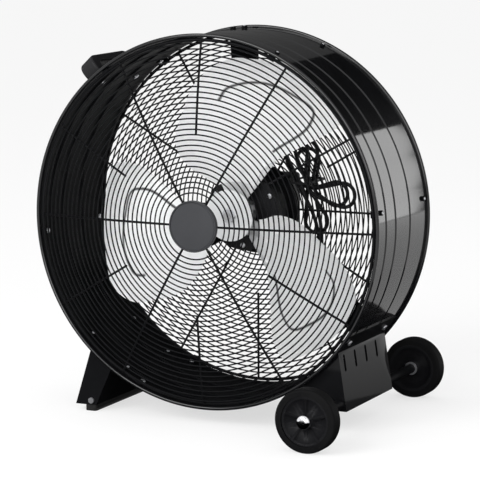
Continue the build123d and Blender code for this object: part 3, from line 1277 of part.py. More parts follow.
def fan_nodes():
    """Every piece under its node's name."""
    badge, clamp, badge_screw = badge_parts()
    clips, clip_screws, clip_nuts = guard_fasteners()
    inner_wall = MOTOR_RADIUS - MOTOR_WALL
    shaft_front = HUB_DISC_FRONT - HUB_NUT_HEIGHT - THREAD_END
    core_ends = (CORE_MIDDLE - CORE_LENGTH / 2, CORE_MIDDLE + CORE_LENGTH / 2)
    nodes = {
        "drum_shell": drum_shell(), "front_guard": group(front_guard()),
        "rear_guard": group(rear_guard()), "hub_badge": badge, "badge_clamp": clamp,
        "badge_screw": badge_screw, "guard_clips": group(clips), "guard_screws": group(clip_screws),
        "guard_nuts": group(clip_nuts),
        "motor_housing": pipe(MOTOR_RADIUS, inner_wall, MOTOR_FRONT + MOTOR_WALL, MOTOR_BACK - MOTOR_WALL),
        "motor_front_bell": motor_bell(MOTOR_FRONT, 1), "motor_rear_bell": rear_bell(),
        "motor_bolts": group(motor_bolts()), "stator_core": stator_core(),
        "stator_windings": group(stator_windings()), "motor_bearings": group(motor_bearings()),
        "motor_shaft": disc(SHAFT_RADIUS, shaft_front, MOTOR_BACK - THREAD_END),
        "rotor_core": pipe(ROTOR_RADIUS, SHAFT_RADIUS + FIT_CLEARANCE, *core_ends),
        "motor_plate": motor_plate(), "arm_bolts": group(arm_bolts()),
        "frame_screws": group(frame_screws()), "frame_nuts": group(frame_nuts()),
        "end_plate_bolts": group(end_plate_bolts()),
        "blade_spider": blade_spider(), "blade_rivets": group(blade_rivets()),
        "hub_fasteners": group(hub_fasteners()),
        "box_neck": box_neck(), "control_box": control_box(), "box_cover": box_cover(),
        "box_screws": group(box_screws()), "run_capacitor": run_capacitor(),
        "speed_switch": speed_switch(), "speed_knob": speed_knob(), "cord_gland": cord_gland(),
        "cord_tie": cord_tie(), "power_plug": power_plug(),
        "handle_grip": handle_grip(), "handle_seats": group(handle_seats()),
        "handle_screws": group(handle_screws()),
        "foot_bracket": foot_bracket(), "foot_rail": foot_rail(), "wheel_bracket": wheel_bracket(),
        "axle": axle(), "axle_spacers": group(axle_spacers()), "axle_washers": group(axle_washers()),
        "cap_nuts": group(cap_nuts()),
        "front_wheel_rim": wheel_rim(-1), "front_wheel_tyre": wheel_tyre(-1),
        "rear_wheel_rim": wheel_rim(1), "rear_wheel_tyre": wheel_tyre(1),
    }
    one_blade = blade()
    for name, angle in BLADE_ANGLES.items():
        nodes[name] = at_angle(one_blade, angle)
    one_arm = motor_arm()
    for name, angle in ARM_ANGLES.items():
        nodes[name] = at_angle(one_arm, angle)
    for name, (points, radii) in cord_routes().items():
        path, nodes[name] = cord_tube(name, points, radii)
        print_least_gap(name, path)
    return nodes


os.makedirs("parts", exist_ok=True)
for node_name, node_shape in fan_nodes().items():
    export_step(node_shape, "parts/" + node_name + ".step")
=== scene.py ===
"""A drum fan on a rubber foot and two wheels: its wires, blades, cord and finishes, and its studio."""

import json
import logging
import math
from contextlib import contextmanager
from dataclasses import dataclass
from enum import Enum
from typing import Any, Iterator, Sequence

import bmesh
import bpy
import numpy as np
from mathutils import Matrix, Vector

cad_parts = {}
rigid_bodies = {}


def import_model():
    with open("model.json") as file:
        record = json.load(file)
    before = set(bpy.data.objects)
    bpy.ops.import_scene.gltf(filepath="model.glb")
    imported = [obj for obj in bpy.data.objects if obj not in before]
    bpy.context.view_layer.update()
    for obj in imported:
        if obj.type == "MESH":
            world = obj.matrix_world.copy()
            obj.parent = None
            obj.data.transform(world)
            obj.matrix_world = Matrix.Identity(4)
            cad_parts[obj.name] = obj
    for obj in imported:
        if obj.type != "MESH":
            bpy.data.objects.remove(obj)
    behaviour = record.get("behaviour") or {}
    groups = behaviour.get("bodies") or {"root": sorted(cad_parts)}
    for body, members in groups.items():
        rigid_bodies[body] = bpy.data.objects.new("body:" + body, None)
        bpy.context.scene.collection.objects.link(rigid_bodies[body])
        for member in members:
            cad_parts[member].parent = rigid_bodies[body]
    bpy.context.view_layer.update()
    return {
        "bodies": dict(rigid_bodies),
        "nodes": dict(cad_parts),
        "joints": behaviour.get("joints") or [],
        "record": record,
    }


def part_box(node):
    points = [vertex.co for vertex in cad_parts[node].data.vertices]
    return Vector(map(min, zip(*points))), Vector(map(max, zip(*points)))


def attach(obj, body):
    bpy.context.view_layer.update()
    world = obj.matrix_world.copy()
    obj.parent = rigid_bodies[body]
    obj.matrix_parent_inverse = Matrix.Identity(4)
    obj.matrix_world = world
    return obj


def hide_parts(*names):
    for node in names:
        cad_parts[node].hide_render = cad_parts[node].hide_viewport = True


log = logging.getLogger("drum_fan")

MM = 0.001                       # the frame is in metres
PHOTO_WIDTH = 480                # pixels, the picture's width and height
SENSOR_WIDTH = 36.0              # millimetres of the camera's sensor
CLIP_END = 100.0                 # metres that the camera sees
SMOOTH_ANGLE = math.radians(32)  # edges sharper than this stay sharp
MERGE_DISTANCE = 2e-6            # metres between doubles
WHITE = (1.0, 1.0, 1.0, 1.0)


# ---------------------------------------------------------------- node trees
class Socket:
    """An output of a node that takes part in Python expressions."""

    def __init__(self, graph: "Graph", link: bpy.types.NodeSocket) -> None:
        """Keeps the output and the graph that it belongs to.

        Args:
            graph: The graph that new Math nodes are added to.
            link: The node's output socket.
        """
        self.graph = graph
        self.link = link

    def _math(self, operation: str, *values: Any) -> "Socket":
        """Adds a Math node of the operation on one or two values and returns its output."""
        return self.graph.node("ShaderNodeMath", {"operation": operation}, dict(enumerate(values)))[0]

    def __add__(self, other: Any) -> "Socket":
        """Sum of two values."""
        return self._math("ADD", self, other)

    def __radd__(self, other: Any) -> "Socket":
        """Sum with a number on the left."""
        return self._math("ADD", other, self)

    def __sub__(self, other: Any) -> "Socket":
        """Difference of two values."""
        return self._math("SUBTRACT", self, other)

    def __rsub__(self, other: Any) -> "Socket":
        """Difference with a number on the left."""
        return self._math("SUBTRACT", other, self)

    def __mul__(self, other: Any) -> "Socket":
        """Product of two values."""
        return self._math("MULTIPLY", self, other)

    def __rmul__(self, other: Any) -> "Socket":
        """Product with a number on the left."""
        return self._math("MULTIPLY", other, self)

    def __pow__(self, power: Any) -> "Socket":
        """The value raised to a power."""
        return self._math("POWER", self, power)

    def maximum(self, other: Any) -> "Socket":
        """The larger of two values."""
        return self._math("MAXIMUM", self, other)

    def sine(self) -> "Socket":
        """Sine of the value, in radians."""
        return self._math("SINE", self)

    def root(self) -> "Socket":
        """Square root of the value."""
        return self._math("SQRT", self)


class Outputs:
    """The outputs of a new node, by name or number."""

    def __init__(self, graph: "Graph", node: bpy.types.Node) -> None:
        """Keeps the node and its graph."""
        self.graph = graph
        self.node = node

    def __getitem__(self, key: str | int) -> Socket:
        """The output of a name or number."""
        return Socket(self.graph, self.node.outputs[key])


class Graph:
    """A node tree that is written as calls and expressions."""

    def __init__(self, tree: bpy.types.NodeTree) -> None:
        """Takes an empty node tree."""
        self.tree = tree

    def node(self, kind: str, settings: dict[str, Any] | None = None,
             inputs: dict[str | int, Any] | None = None) -> Outputs:
        """Adds a node.

        Args:
            kind: Its type, such as ShaderNodeMath.
            settings: Properties that are set first; "stops" holds a ramp's places and colours.
            inputs: Values or links of its input sockets, by name or number.

        Returns:
            The node's outputs.
        """
        node = self.tree.nodes.new(kind)
        for name, value in (settings or {}).items():
            if name == "stops":
                self._set_stops(node.color_ramp, value)
            else:
                setattr(node, name, value)
        for key, value in (inputs or {}).items():
            if isinstance(value, Socket):
                self.tree.links.new(value.link, node.inputs[key])
            else:
                node.inputs[key].default_value = value
        return Outputs(self, node)

    @staticmethod
    def _set_stops(ramp: bpy.types.ColorRamp, stops: Sequence[tuple[float, float]]) -> None:
        """Gives a ramp its stops.

        Args:
            ramp: The ramp, which has two elements.
            stops: Place and grey level of each stop, two or more.
        """
        while len(ramp.elements) < len(stops):
            ramp.elements.new(1.0)
        for element, (place, level) in zip(ramp.elements, stops):
            element.position = place
            element.color = (level, level, level, 1.0)

    def vector(self, x: Any = 0.0, y: Any = 0.0, z: Any = 0.0) -> Socket:
        """A vector of three numbers or links."""
        return self.node("ShaderNodeCombineXYZ", {}, {"X": x, "Y": y, "Z": z})["Vector"]

    def split(self, vector: Socket) -> Outputs:
        """The X, Y and Z of a vector."""
        return self.node("ShaderNodeSeparateXYZ", {}, {0: vector})


def blank_graph(holder: bpy.types.ID) -> Graph:
    """Empties the node tree of a new material or world.

    Args:
        holder: The material or world.

    Returns:
        Its tree, ready to be written.
    """
    holder.use_nodes = True
    holder.node_tree.nodes.clear()
    return Graph(holder.node_tree)


def new_material(name: str) -> tuple[bpy.types.Material, Graph]:
    """A new material and its empty graph."""
    made = bpy.data.materials.new(name)
    return made, blank_graph(made)


class Grain(Enum):
    """What the surface of a finish looks like from close by."""

    PEEL = "fine orange peel of baked paint"
    MOULDED = "eroded texture of a plastic mould"
    ROLLED = "lines of rolling along a sheet, by its UV map"
    TURNED = "rings left by turning, about the fan's axis"
    STACKED = "edges of stacked sheets"
    WOUND = "strands of winding wire"
    CAST = "grainy skin of a casting"
    CLEAR = "polished, with faint marks of handling"


@dataclass(frozen=True)
class Noise:
    """How fine a noise goes, and how strong its fine part is."""

    detail: float
    roughness: float


PATCHES = Noise(3.0, 0.55)
SPECKS = Noise(4.0, 0.6)
ROLLING = Noise(3.0, 0.6)
CAST_SKIN = Noise(6.0, 0.7)
FINE_GRAIN = Noise(2.0, 0.5)


@dataclass(frozen=True)
class Finish:
    """A surface: its colour, gloss and grain. Lengths are in millimetres."""

    colour: tuple[float, float, float]
    worn: tuple[float, float, float]
    roughness: float
    metallic: float = 0.0
    grain: Grain = Grain.PEEL
    grain_size: float = 1.2
    grain_depth: float = 0.05
    patch_size: float = 60.0
    unevenness: float = 0.08
    specular: float = 0.5
    coat: float = 0.0

    SPECKS_PER_PATCH = 14        # along a patch of wear
    PATCH_SHARE = 0.7            # of the patches in the wear
    SPECK_SHARE = 0.3
    WEAR_STOPS = ((0.35, 0.0), (0.75, 1.0))
    GRAIN_GLOSS = 0.06           # how far the grain changes the roughness
    BUMP_STRENGTH = 0.6
    COAT_ROUGHNESS = 0.06
    GRAINS_PER_LINE = 12         # length of a line of rolling
    LINE_STRETCH = (1.0, 18.0, 1.0)
    GRAINS_PER_PORE = 2          # in the skin of a casting
    WAVE_SCALE = 0.314           # makes a ridge of the wave texture one grain wide
    WAVE_DISTORTION = 0.4
    WAVE_DETAIL = 2.0

    def material(self, name: str, centre: Vector) -> bpy.types.Material:
        """Builds the finish as a material.

        Args:
            name: The material's name.
            centre: A point on the fan's axis, for turned surfaces.

        Returns:
            The new material.
        """
        made, graph = new_material(name)
        place = graph.node("ShaderNodeTexCoord")["Object"]
        patches = self._noise(graph, place, self.patch_size, PATCHES)
        specks = self._noise(graph, place, self.patch_size / self.SPECKS_PER_PATCH, SPECKS)
        height = self._height(graph, place, centre)
        wear = graph.node("ShaderNodeValToRGB", {"stops": self.WEAR_STOPS}, {
            "Fac": patches * self.PATCH_SHARE + specks * self.SPECK_SHARE})["Color"]
        colour = self._bead_shaded(graph, self._mixed(graph, wear))
        unevenness = (patches - 0.5) * self.unevenness + (height - 0.5) * self.GRAIN_GLOSS
        normal = graph.node("ShaderNodeBump", {}, {
            "Strength": self.BUMP_STRENGTH, "Distance": self.grain_depth * MM, "Height": height})["Normal"]
        shader = graph.node("ShaderNodeBsdfPrincipled", {}, {
            "Base Color": colour, "Roughness": self.roughness + unevenness, "Metallic": self.metallic,
            "Normal": normal, "Specular IOR Level": self.specular, "Coat Weight": self._coat(graph),
            "Coat Roughness": self.COAT_ROUGHNESS})
        graph.node("ShaderNodeOutputMaterial", {}, {"Surface": shader["BSDF"]})
        return made

    @staticmethod
    def _noise(graph: Graph, place: Socket, size: float, noise: Noise) -> Socket:
        """Noise with features of a size in millimetres."""
        return graph.node("ShaderNodeTexNoise", {}, {
            "Vector": place, "Scale": 1 / (size * MM), "Detail": noise.detail,
            "Roughness": noise.roughness})["Fac"]

    def _mixed(self, graph: Graph, mask: Socket) -> Socket:
        """The finish's colour, worn where the mask is one."""
        return graph.node("ShaderNodeMix", {"data_type": "RGBA"}, {
            0: mask, 6: (*self.colour, 1.0), 7: (*self.worn, 1.0)})[2]

    def _coat(self, graph: Graph) -> Socket | float:
        """Weight of the clear coat, the same all over."""
        return self.coat

    def _bead_shaded(self, graph: Graph, colour: Socket) -> Socket:
        """The colour as it is; a sheet with pressed beads gets painted shade along them."""
        return colour

    def _height(self, graph: Graph, place: Socket, centre: Vector) -> Socket:
        """The grain as a height.

        Args:
            graph: The material's graph.
            place: The piece's own coordinates.
            centre: A point on the fan's axis.

        Returns:
            A value from zero to one.
        """
        grain = self.grain
        if grain is Grain.ROLLED:
            sheet = graph.node("ShaderNodeUVMap", {"uv_map": "sheet"})["UV"]
            lines = graph.node("ShaderNodeMapping", {}, {
                "Vector": sheet, "Scale": self.LINE_STRETCH})["Vector"]
            return self._noise(graph, lines, self.grain_size * self.GRAINS_PER_LINE, ROLLING)
        if grain is Grain.STACKED:
            return self._waves(graph, place, "Y")
        if grain is Grain.WOUND:
            return self._waves(graph, place, "X")
        if grain is Grain.TURNED:
            offset = graph.node("ShaderNodeVectorMath", {"operation": "SUBTRACT"},
                                {0: place, 1: centre})["Vector"]
            parts = graph.split(offset)
            radius = (parts["X"] ** 2.0 + parts["Z"] ** 2.0).root()
            rings = (radius * (2 * math.pi / (self.grain_size * MM))).sine()
            return 0.5 + 0.5 * rings
        if grain is Grain.CAST:
            return self._noise(graph, place, self.grain_size * self.GRAINS_PER_PORE, CAST_SKIN)
        return self._noise(graph, place, self.grain_size, FINE_GRAIN)

    def _waves(self, graph: Graph, place: Socket, direction: str) -> Socket:
        """Regular ridges across a direction."""
        return graph.node("ShaderNodeTexWave", {"bands_direction": direction}, {
            "Vector": place, "Scale": self.WAVE_SCALE / (self.grain_size * MM),
            "Distortion": self.WAVE_DISTORTION, "Detail": self.WAVE_DETAIL})["Fac"]


@dataclass(frozen=True)
class BakedPaint(Finish):
    """Baked paint that is glossy only where the attribute "outside" is one."""

    def _coat(self, graph: Graph) -> Socket | float:
        """Weight of the clear coat, by the attribute."""
        return self.coat * graph.node("ShaderNodeAttribute", {"attribute_name": "outside"})["Fac"]


@dataclass(frozen=True)
class BeadedSheet(Finish):
    """Rolled sheet with pressed beads, with painted shade along the beads' flanks, which an attribute marks.
    """

    # colour of the painted shade along the beads' flanks
    crease: tuple[float, float, float] = (0.012, 0.012, 0.013)

    def _bead_shaded(self, graph: Graph, colour: Socket) -> Socket:
        """The colour with painted shade along the flanks of a bead, where an attribute marks them."""
        mask = graph.node("ShaderNodeAttribute", {"attribute_name": "crease"})["Fac"]
        return graph.node("ShaderNodeMix", {"data_type": "RGBA"}, {
            0: mask, 6: colour, 7: (*self.crease, 1.0)})[2]


BLACK = (0.0042, 0.0043, 0.0048)
DUSTY_BLACK = (0.0060, 0.0062, 0.0070)
FINISHES: dict[str, Finish] = {
    "black_steel": BakedPaint(BLACK, DUSTY_BLACK, 0.45, grain_size=1.6, grain_depth=0.02, specular=0.02,
                              coat=0.8),
    "guard_wire": Finish(BLACK, DUSTY_BLACK, 0.45, grain_size=0.9, specular=0.05),
    "badge": Finish((0.030, 0.031, 0.034), (0.037, 0.038, 0.042), 0.42, 0.10, Grain.TURNED, 0.9, 0.02,
                    specular=0.2),
    "blade_aluminium": BeadedSheet((0.93, 0.935, 0.94), (0.88, 0.885, 0.895), 0.36, 0.10, Grain.ROLLED,
                                   1.0, 0.02, patch_size=90.0, unevenness=0.12),
    "spider_steel": Finish((0.80, 0.81, 0.82), (0.70, 0.71, 0.72), 0.38, 0.35, Grain.CLEAR, 2.0, 0.03),
    "zinc": Finish((0.62, 0.63, 0.66), (0.48, 0.48, 0.50), 0.32, 0.9, Grain.CLEAR, 1.5, 0.03, 12.0),
    "steel": Finish((0.52, 0.52, 0.53), (0.40, 0.40, 0.41), 0.30, 1.0, Grain.TURNED, 0.6, 0.02, 20.0),
    "laminations": Finish((0.22, 0.22, 0.23), (0.16, 0.15, 0.15), 0.50, 0.8, Grain.STACKED, 0.5, 0.1),
    "copper": Finish((0.62, 0.25, 0.11), (0.50, 0.18, 0.08), 0.35, 0.9, Grain.WOUND, 0.9, 0.3, 20.0),
    "motor_paint": Finish((0.009, 0.009, 0.010), (0.014, 0.014, 0.015), 0.45, grain=Grain.CAST,
                          grain_size=1.0, grain_depth=0.08, specular=0.14),
    "black_plastic": Finish((0.008, 0.008, 0.009), (0.012, 0.012, 0.013), 0.46, grain=Grain.MOULDED,
                            grain_size=0.7, grain_depth=0.05, specular=0.16),
    "knob_plastic": Finish((0.011, 0.011, 0.012), (0.018, 0.018, 0.019), 0.38, grain=Grain.MOULDED,
                           grain_size=0.6, grain_depth=0.03, specular=0.25),
    "wheel_plastic": Finish((0.006, 0.006, 0.007), (0.010, 0.010, 0.011), 0.40, grain=Grain.MOULDED,
                            grain_size=0.9, grain_depth=0.04, specular=0.08),
    "tyre_rubber": Finish((0.004, 0.004, 0.0045), (0.007, 0.007, 0.007), 0.60, grain=Grain.MOULDED,
                          grain_size=1.1, grain_depth=0.10, specular=0.03, unevenness=0.15),
    "rail_rubber": Finish((0.009, 0.009, 0.009), (0.016, 0.016, 0.016), 0.70, grain=Grain.MOULDED,
                          grain_size=1.4, grain_depth=0.12, specular=0.14, unevenness=0.15),
    "cord_sheath": Finish((0.007, 0.007, 0.008), (0.012, 0.012, 0.013), 0.40, grain=Grain.MOULDED,
                          grain_size=0.8, grain_depth=0.03, specular=0.16),
    "chrome": Finish((0.80, 0.80, 0.82), (0.72, 0.72, 0.74), 0.10, 1.0, Grain.CLEAR, 3.0, 0.01, 15.0,
                     0.04),
    "capacitor_can": Finish((0.60, 0.60, 0.58), (0.50, 0.50, 0.49), 0.45, 0.0, Grain.MOULDED, 1.0, 0.04),
}


class Paintshop:
    """Holds the record's material slots and dresses pieces with their finishes."""

    def __init__(self, frame: dict[str, Any], axis: Vector) -> None:
        """Builds every material.

        Args:
            frame: The loaded frame.
            axis: A point on the fan's axis.
        """
        self.slots = {part["node"]: part["material_slot"] for part in frame["record"]["subparts"]}
        self.materials = {slot: finish.material(slot, axis) for slot, finish in FINISHES.items()}

    def dress(self, piece: bpy.types.Object, slot: str) -> None:
        """Gives a piece one finish all over.

        Args:
            piece: The object, a mesh or a curve.
            slot: The record's material slot.
        """
        piece.data.materials.clear()
        piece.data.materials.append(self.materials[slot])

    def fit(self, piece: bpy.types.Object, body: str, slot: str, *nodes: str) -> None:
        """Dresses a new piece, lets it ride on a body and puts it in the place of CAD nodes.

        Args:
            piece: The new object.
            body: The body that carries it.
            slot: The record's material slot.
            *nodes: The nodes that it replaces.
        """
        self.dress(piece, slot)
        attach(piece, body)
        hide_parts(*nodes)
        log.info("%s rides on %s", piece.name, body)


# ---------------------------------------------------------------- mesh helpers
def link_object(name: str, data: bpy.types.ID) -> bpy.types.Object:
    """Makes an object of its data and links it to the scene.

    Args:
        name: Name of the object.
        data: A mesh, a curve, a lamp or a camera.

    Returns:
        The object, at the origin.
    """
    made = bpy.data.objects.new(name, data)
    bpy.context.scene.collection.objects.link(made)
    return made


def smooth(mesh: bpy.types.Mesh, angle: float = SMOOTH_ANGLE) -> None:
    """Shades a mesh smooth between its sharp edges."""
    mesh.shade_smooth()
    mesh.set_sharp_from_angle(angle=angle)


def mark_points(mesh: bpy.types.Mesh, name: str, values: np.ndarray) -> None:
    """Gives a mesh an attribute with one number for each vertex."""
    mark = mesh.attributes.new(name, "FLOAT", "POINT")
    mark.data.foreach_set("value", values.astype(np.float32))


@contextmanager
def edited(mesh: bpy.types.Mesh) -> Iterator[bmesh.types.BMesh]:
    """Opens a mesh for editing and writes it back.

    Args:
        mesh: The mesh.

    Yields:
        Its editable copy.
    """
    work = bmesh.new()
    work.from_mesh(mesh)
    yield work
    work.to_mesh(mesh)
    work.free()


def mesh_object(name: str, vertices: np.ndarray, faces: Sequence[Sequence[int]],
                outward: bool = True) -> bpy.types.Object:
    """Makes a smooth-shaded object from vertices and faces.

    Args:
        name: Name of the object and its mesh.
        vertices: One row of three coordinates in metres for each vertex.
        faces: Vertex numbers of each face.
        outward: True to merge doubles and turn all faces outwards.

    Returns:
        The object, linked to the scene and standing at the origin.
    """
    mesh = bpy.data.meshes.new(name)
    mesh.from_pydata(vertices.tolist(), [], [tuple(int(i) for i in face) for face in faces])
    if outward:
        with edited(mesh) as work:
            bmesh.ops.remove_doubles(work, verts=work.verts, dist=MERGE_DISTANCE)
            bmesh.ops.recalc_face_normals(work, faces=work.faces)
    smooth(mesh)
    return link_object(name, mesh)


def turned(name: str, profile: Sequence[tuple[float, float]], centre: Vector,
           steps: int) -> bpy.types.Object:
    """Turns a closed profile about a line along Y.

    Args:
        name: Name of the object.
        profile: Radius and Y of each point of the closed outline.
        centre: A point on the line.
        steps: Number of segments round the line.

    Returns:
        The turned object.
    """
    radii, depths = np.array(profile).T
    angles = np.arange(steps) * 2 * math.pi / steps
    x = centre.x + np.outer(np.cos(angles), radii)
    z = centre.z + np.outer(np.sin(angles), radii)
    y = np.broadcast_to(depths, x.shape)
    vertices = np.stack([x, y, z], axis=-1).reshape(-1, 3)
    count = len(profile)
    faces = [
        (a * count + b, a * count + (b + 1) % count, (a + 1) % steps * count + (b + 1) % count,
         (a + 1) % steps * count + b)
        for a in range(steps) for b in range(count)
        if not (radii[b] == 0 and radii[(b + 1) % count] == 0)
    ]
    return mesh_object(name, vertices, faces)


def arc(centre: tuple[float, float], radius: float, start: float, end: float,
        steps: int) -> list[tuple[float, float]]:
    """Points of a circle's arc.

    Args:
        centre: Middle of the circle.
        radius: Its radius.
        start: First angle in degrees.
        end: Last angle in degrees.
        steps: Number of segments.

    Returns:
        The points, both ends included.
    """
    angles = [math.radians(start + (end - start) * n / steps) for n in range(steps + 1)]
    return [(centre[0] + radius * math.cos(a), centre[1] + radius * math.sin(a)) for a in angles]


def through(places: Sequence[tuple[float, float]], at: np.ndarray) -> np.ndarray:
    """A smooth curve through points, as a function.

    Args:
        places: Argument and value of each point, in rising order of the argument.
        at: Arguments to work the curve out at.

    Returns:
        The values of the cubic pieces at those arguments.
    """
    x, y = np.array(places).T
    slopes = np.gradient(y, x)
    piece = np.clip(np.searchsorted(x, at) - 1, 0, len(x) - 2)
    run = x[piece + 1] - x[piece]
    t = (at - x[piece]) / run
    return ((2 * t ** 3 - 3 * t ** 2 + 1) * y[piece] + (t ** 3 - 2 * t ** 2 + t) * run * slopes[piece]
            + (3 * t ** 2 - 2 * t ** 3) * y[piece + 1] + (t ** 3 - t ** 2) * run * slopes[piece + 1])


# ---------------------------------------------------------------- studio
@dataclass(frozen=True)
class Viewpoint:
    """The photograph's camera. Millimetres and degrees; azimuth 0 looks along +Y."""

    azimuth: float = 25.103
    elevation: float = 8.668
    roll: float = -0.25
    distance: float = 4452.7
    aim: tuple[float, float, float] = (0.0, -122.5, 355.0)
    focal_pixels: float = 2567.8
    aside: float = 65.97
    over: float = -27.85

    def make_camera(self) -> None:
        """Makes the scene's camera."""
        turn = math.radians(self.azimuth)
        rise = math.radians(self.elevation)
        tilt = math.radians(self.roll)
        back = Vector((math.sin(turn) * math.cos(rise), -math.cos(turn) * math.cos(rise), math.sin(rise)))
        level = Vector((math.cos(turn), math.sin(turn), 0.0))
        upright = back.cross(level)
        right = math.cos(tilt) * level + math.sin(tilt) * upright
        up = -math.sin(tilt) * level + math.cos(tilt) * upright
        place = Vector(self.aim) + back * self.distance + right * self.aside + up * self.over
        data = bpy.data.cameras.new("camera")
        data.sensor_width = SENSOR_WIDTH
        data.lens = self.focal_pixels / PHOTO_WIDTH * SENSOR_WIDTH
        data.clip_end = CLIP_END
        camera = link_object("camera", data)
        facing = Matrix((right, up, back)).transposed().to_4x4()
        camera.matrix_world = Matrix.Translation(place * MM) @ facing
        bpy.context.scene.camera = camera


@dataclass(frozen=True)
class Lamp:
    """A soft rectangular lamp. Metres, watts."""

    name: str
    place: tuple[float, float, float]
    target: tuple[float, float, float]
    width: float
    height: float
    power: float

    def make(self) -> None:
        """Makes the lamp and points it at its target."""
        data = bpy.data.lights.new(self.name, "AREA")
        data.shape = "RECTANGLE"
        data.size = self.width
        data.size_y = self.height
        data.energy = self.power
        lamp = link_object(self.name, data)
        lamp.location = self.place
        lamp.rotation_mode = "QUATERNION"
        lamp.rotation_quaternion = (Vector(self.target) - Vector(self.place)).to_track_quat("-Z", "Y")


@dataclass(frozen=True)
class Card:
    """A flat card that only shows in glossy surfaces. Metres."""

    name: str
    corners: tuple[tuple[float, float, float], ...]
    tone: float = 0.0            # how bright it shows at Y = 0, black at 0 and white at 1
    rise: float = 0.0            # how much brighter it gets for each metre of Y

    def make(self) -> None:
        """Makes the card."""
        card = mesh_object(self.name, np.array(self.corners), [range(len(self.corners))], outward=False)
        paper, graph = new_material(self.name)
        depth = graph.split(graph.node("ShaderNodeTexCoord")["Object"])["Y"]
        level = depth * self.rise + self.tone
        grey = graph.vector(level, level, level)
        glow = graph.node("ShaderNodeEmission", {}, {"Color": grey, "Strength": 1.0})
        graph.node("ShaderNodeOutputMaterial", {}, {"Surface": glow["Emission"]})
        card.data.materials.append(paper)
        card.visible_camera = False
        card.visible_diffuse = False
        card.visible_shadow = False


@dataclass(frozen=True)
class Studio:
    """A white room with soft lamps and cards. Metres."""

    ambient: float = 0.85
    floor_half: float = 30.0
    floor_colour: float = 0.92
    floor_glow: float = 0.65
    lamps: tuple[Lamp, ...] = (
        Lamp("key", (-1.2, -3.4, 2.6), (0.0, 0.0, 0.35), 2.2, 2.0, 100.0),
        Lamp("fill", (2.6, -3.0, 1.6), (0.0, 0.0, 0.35), 2.0, 1.6, 20.0),
        Lamp("front", (0.5, -4.2, 1.2), (0.0, 0.0, 0.35), 2.4, 1.8, 60.0),
        Lamp("side", (1.60, 3.1, 0.76), (1.60, 0.0, 0.76), 1.1, 1.5, 10.0),
    )
    cards: tuple[Card, ...] = (
        Card("card_behind", ((-9.0, 3.0, 0.02), (1.49, 3.0, 0.02), (1.52, 3.0, 0.41), (1.41, 3.0, 0.91),
                             (1.15, 3.0, 1.35), (1.25, 3.0, 1.47), (9.0, 3.0, 1.47), (9.0, 3.0, 9.0),
                             (-9.0, 3.0, 9.0))),
        Card("card_sheen", ((-1.75, 2.98, 0.3), (-0.3, 2.98, 0.3), (-0.3, 2.98, 2.05), (-1.75, 2.98, 2.05)),
             0.12),
        Card("card_under", ((-1.5, -0.6, 0.004), (0.8, -0.6, 0.004), (0.8, 0.46, 0.004),
                            (-1.5, 0.46, 0.004))),
        Card("card_floor", ((0.2, 0.46, 0.004), (3.0, 0.46, 0.004), (3.0, 2.95, 0.004),
                            (0.2, 2.95, 0.004)), 0.42, 0.36),
    )

    def make(self) -> None:
        """Makes the world, the floor, the lamps and the cards, and sets the view transform."""
        scene = bpy.context.scene
        scene.view_settings.view_transform = "Standard"
        scene.world = bpy.data.worlds.new("white_room")
        graph = blank_graph(scene.world)
        strength = self.ambient + (1.0 - self.ambient) * self._seen(graph)
        light = graph.node("ShaderNodeBackground", {}, {"Color": WHITE, "Strength": strength})
        graph.node("ShaderNodeOutputWorld", {}, {"Surface": light["Background"]})
        self._make_floor()
        for item in (*self.lamps, *self.cards):
            item.make()

    @staticmethod
    def _seen(graph: Graph) -> Socket:
        """One for rays that show the background: from the camera, a gloss or a glass."""
        path = graph.node("ShaderNodeLightPath")
        return path["Is Camera Ray"].maximum(path["Is Glossy Ray"]).maximum(path["Is Transmission Ray"])

    def _make_floor(self) -> None:
        """Makes the pale floor, which glows a little where it is seen and keeps the shadow."""
        half = self.floor_half
        corners = np.array([(-half, -half, 0), (half, -half, 0), (half, half, 0), (-half, half, 0)])
        floor = mesh_object("floor", corners, [(0, 1, 2, 3)], outward=False)
        paint, graph = new_material("pale_floor")
        tone = self.floor_colour
        matt = graph.node("ShaderNodeBsdfDiffuse", {}, {"Color": (tone, tone, tone, 1.0)})
        glow = graph.node("ShaderNodeEmission", {}, {"Color": WHITE, "Strength": 1.0})
        both = graph.node("ShaderNodeMixShader", {}, {
            0: self._seen(graph) * self.floor_glow, 1: matt["BSDF"], 2: glow["Emission"]})
        graph.node("ShaderNodeOutputMaterial", {}, {"Surface": both["Shader"]})
        floor.data.materials.append(paint)


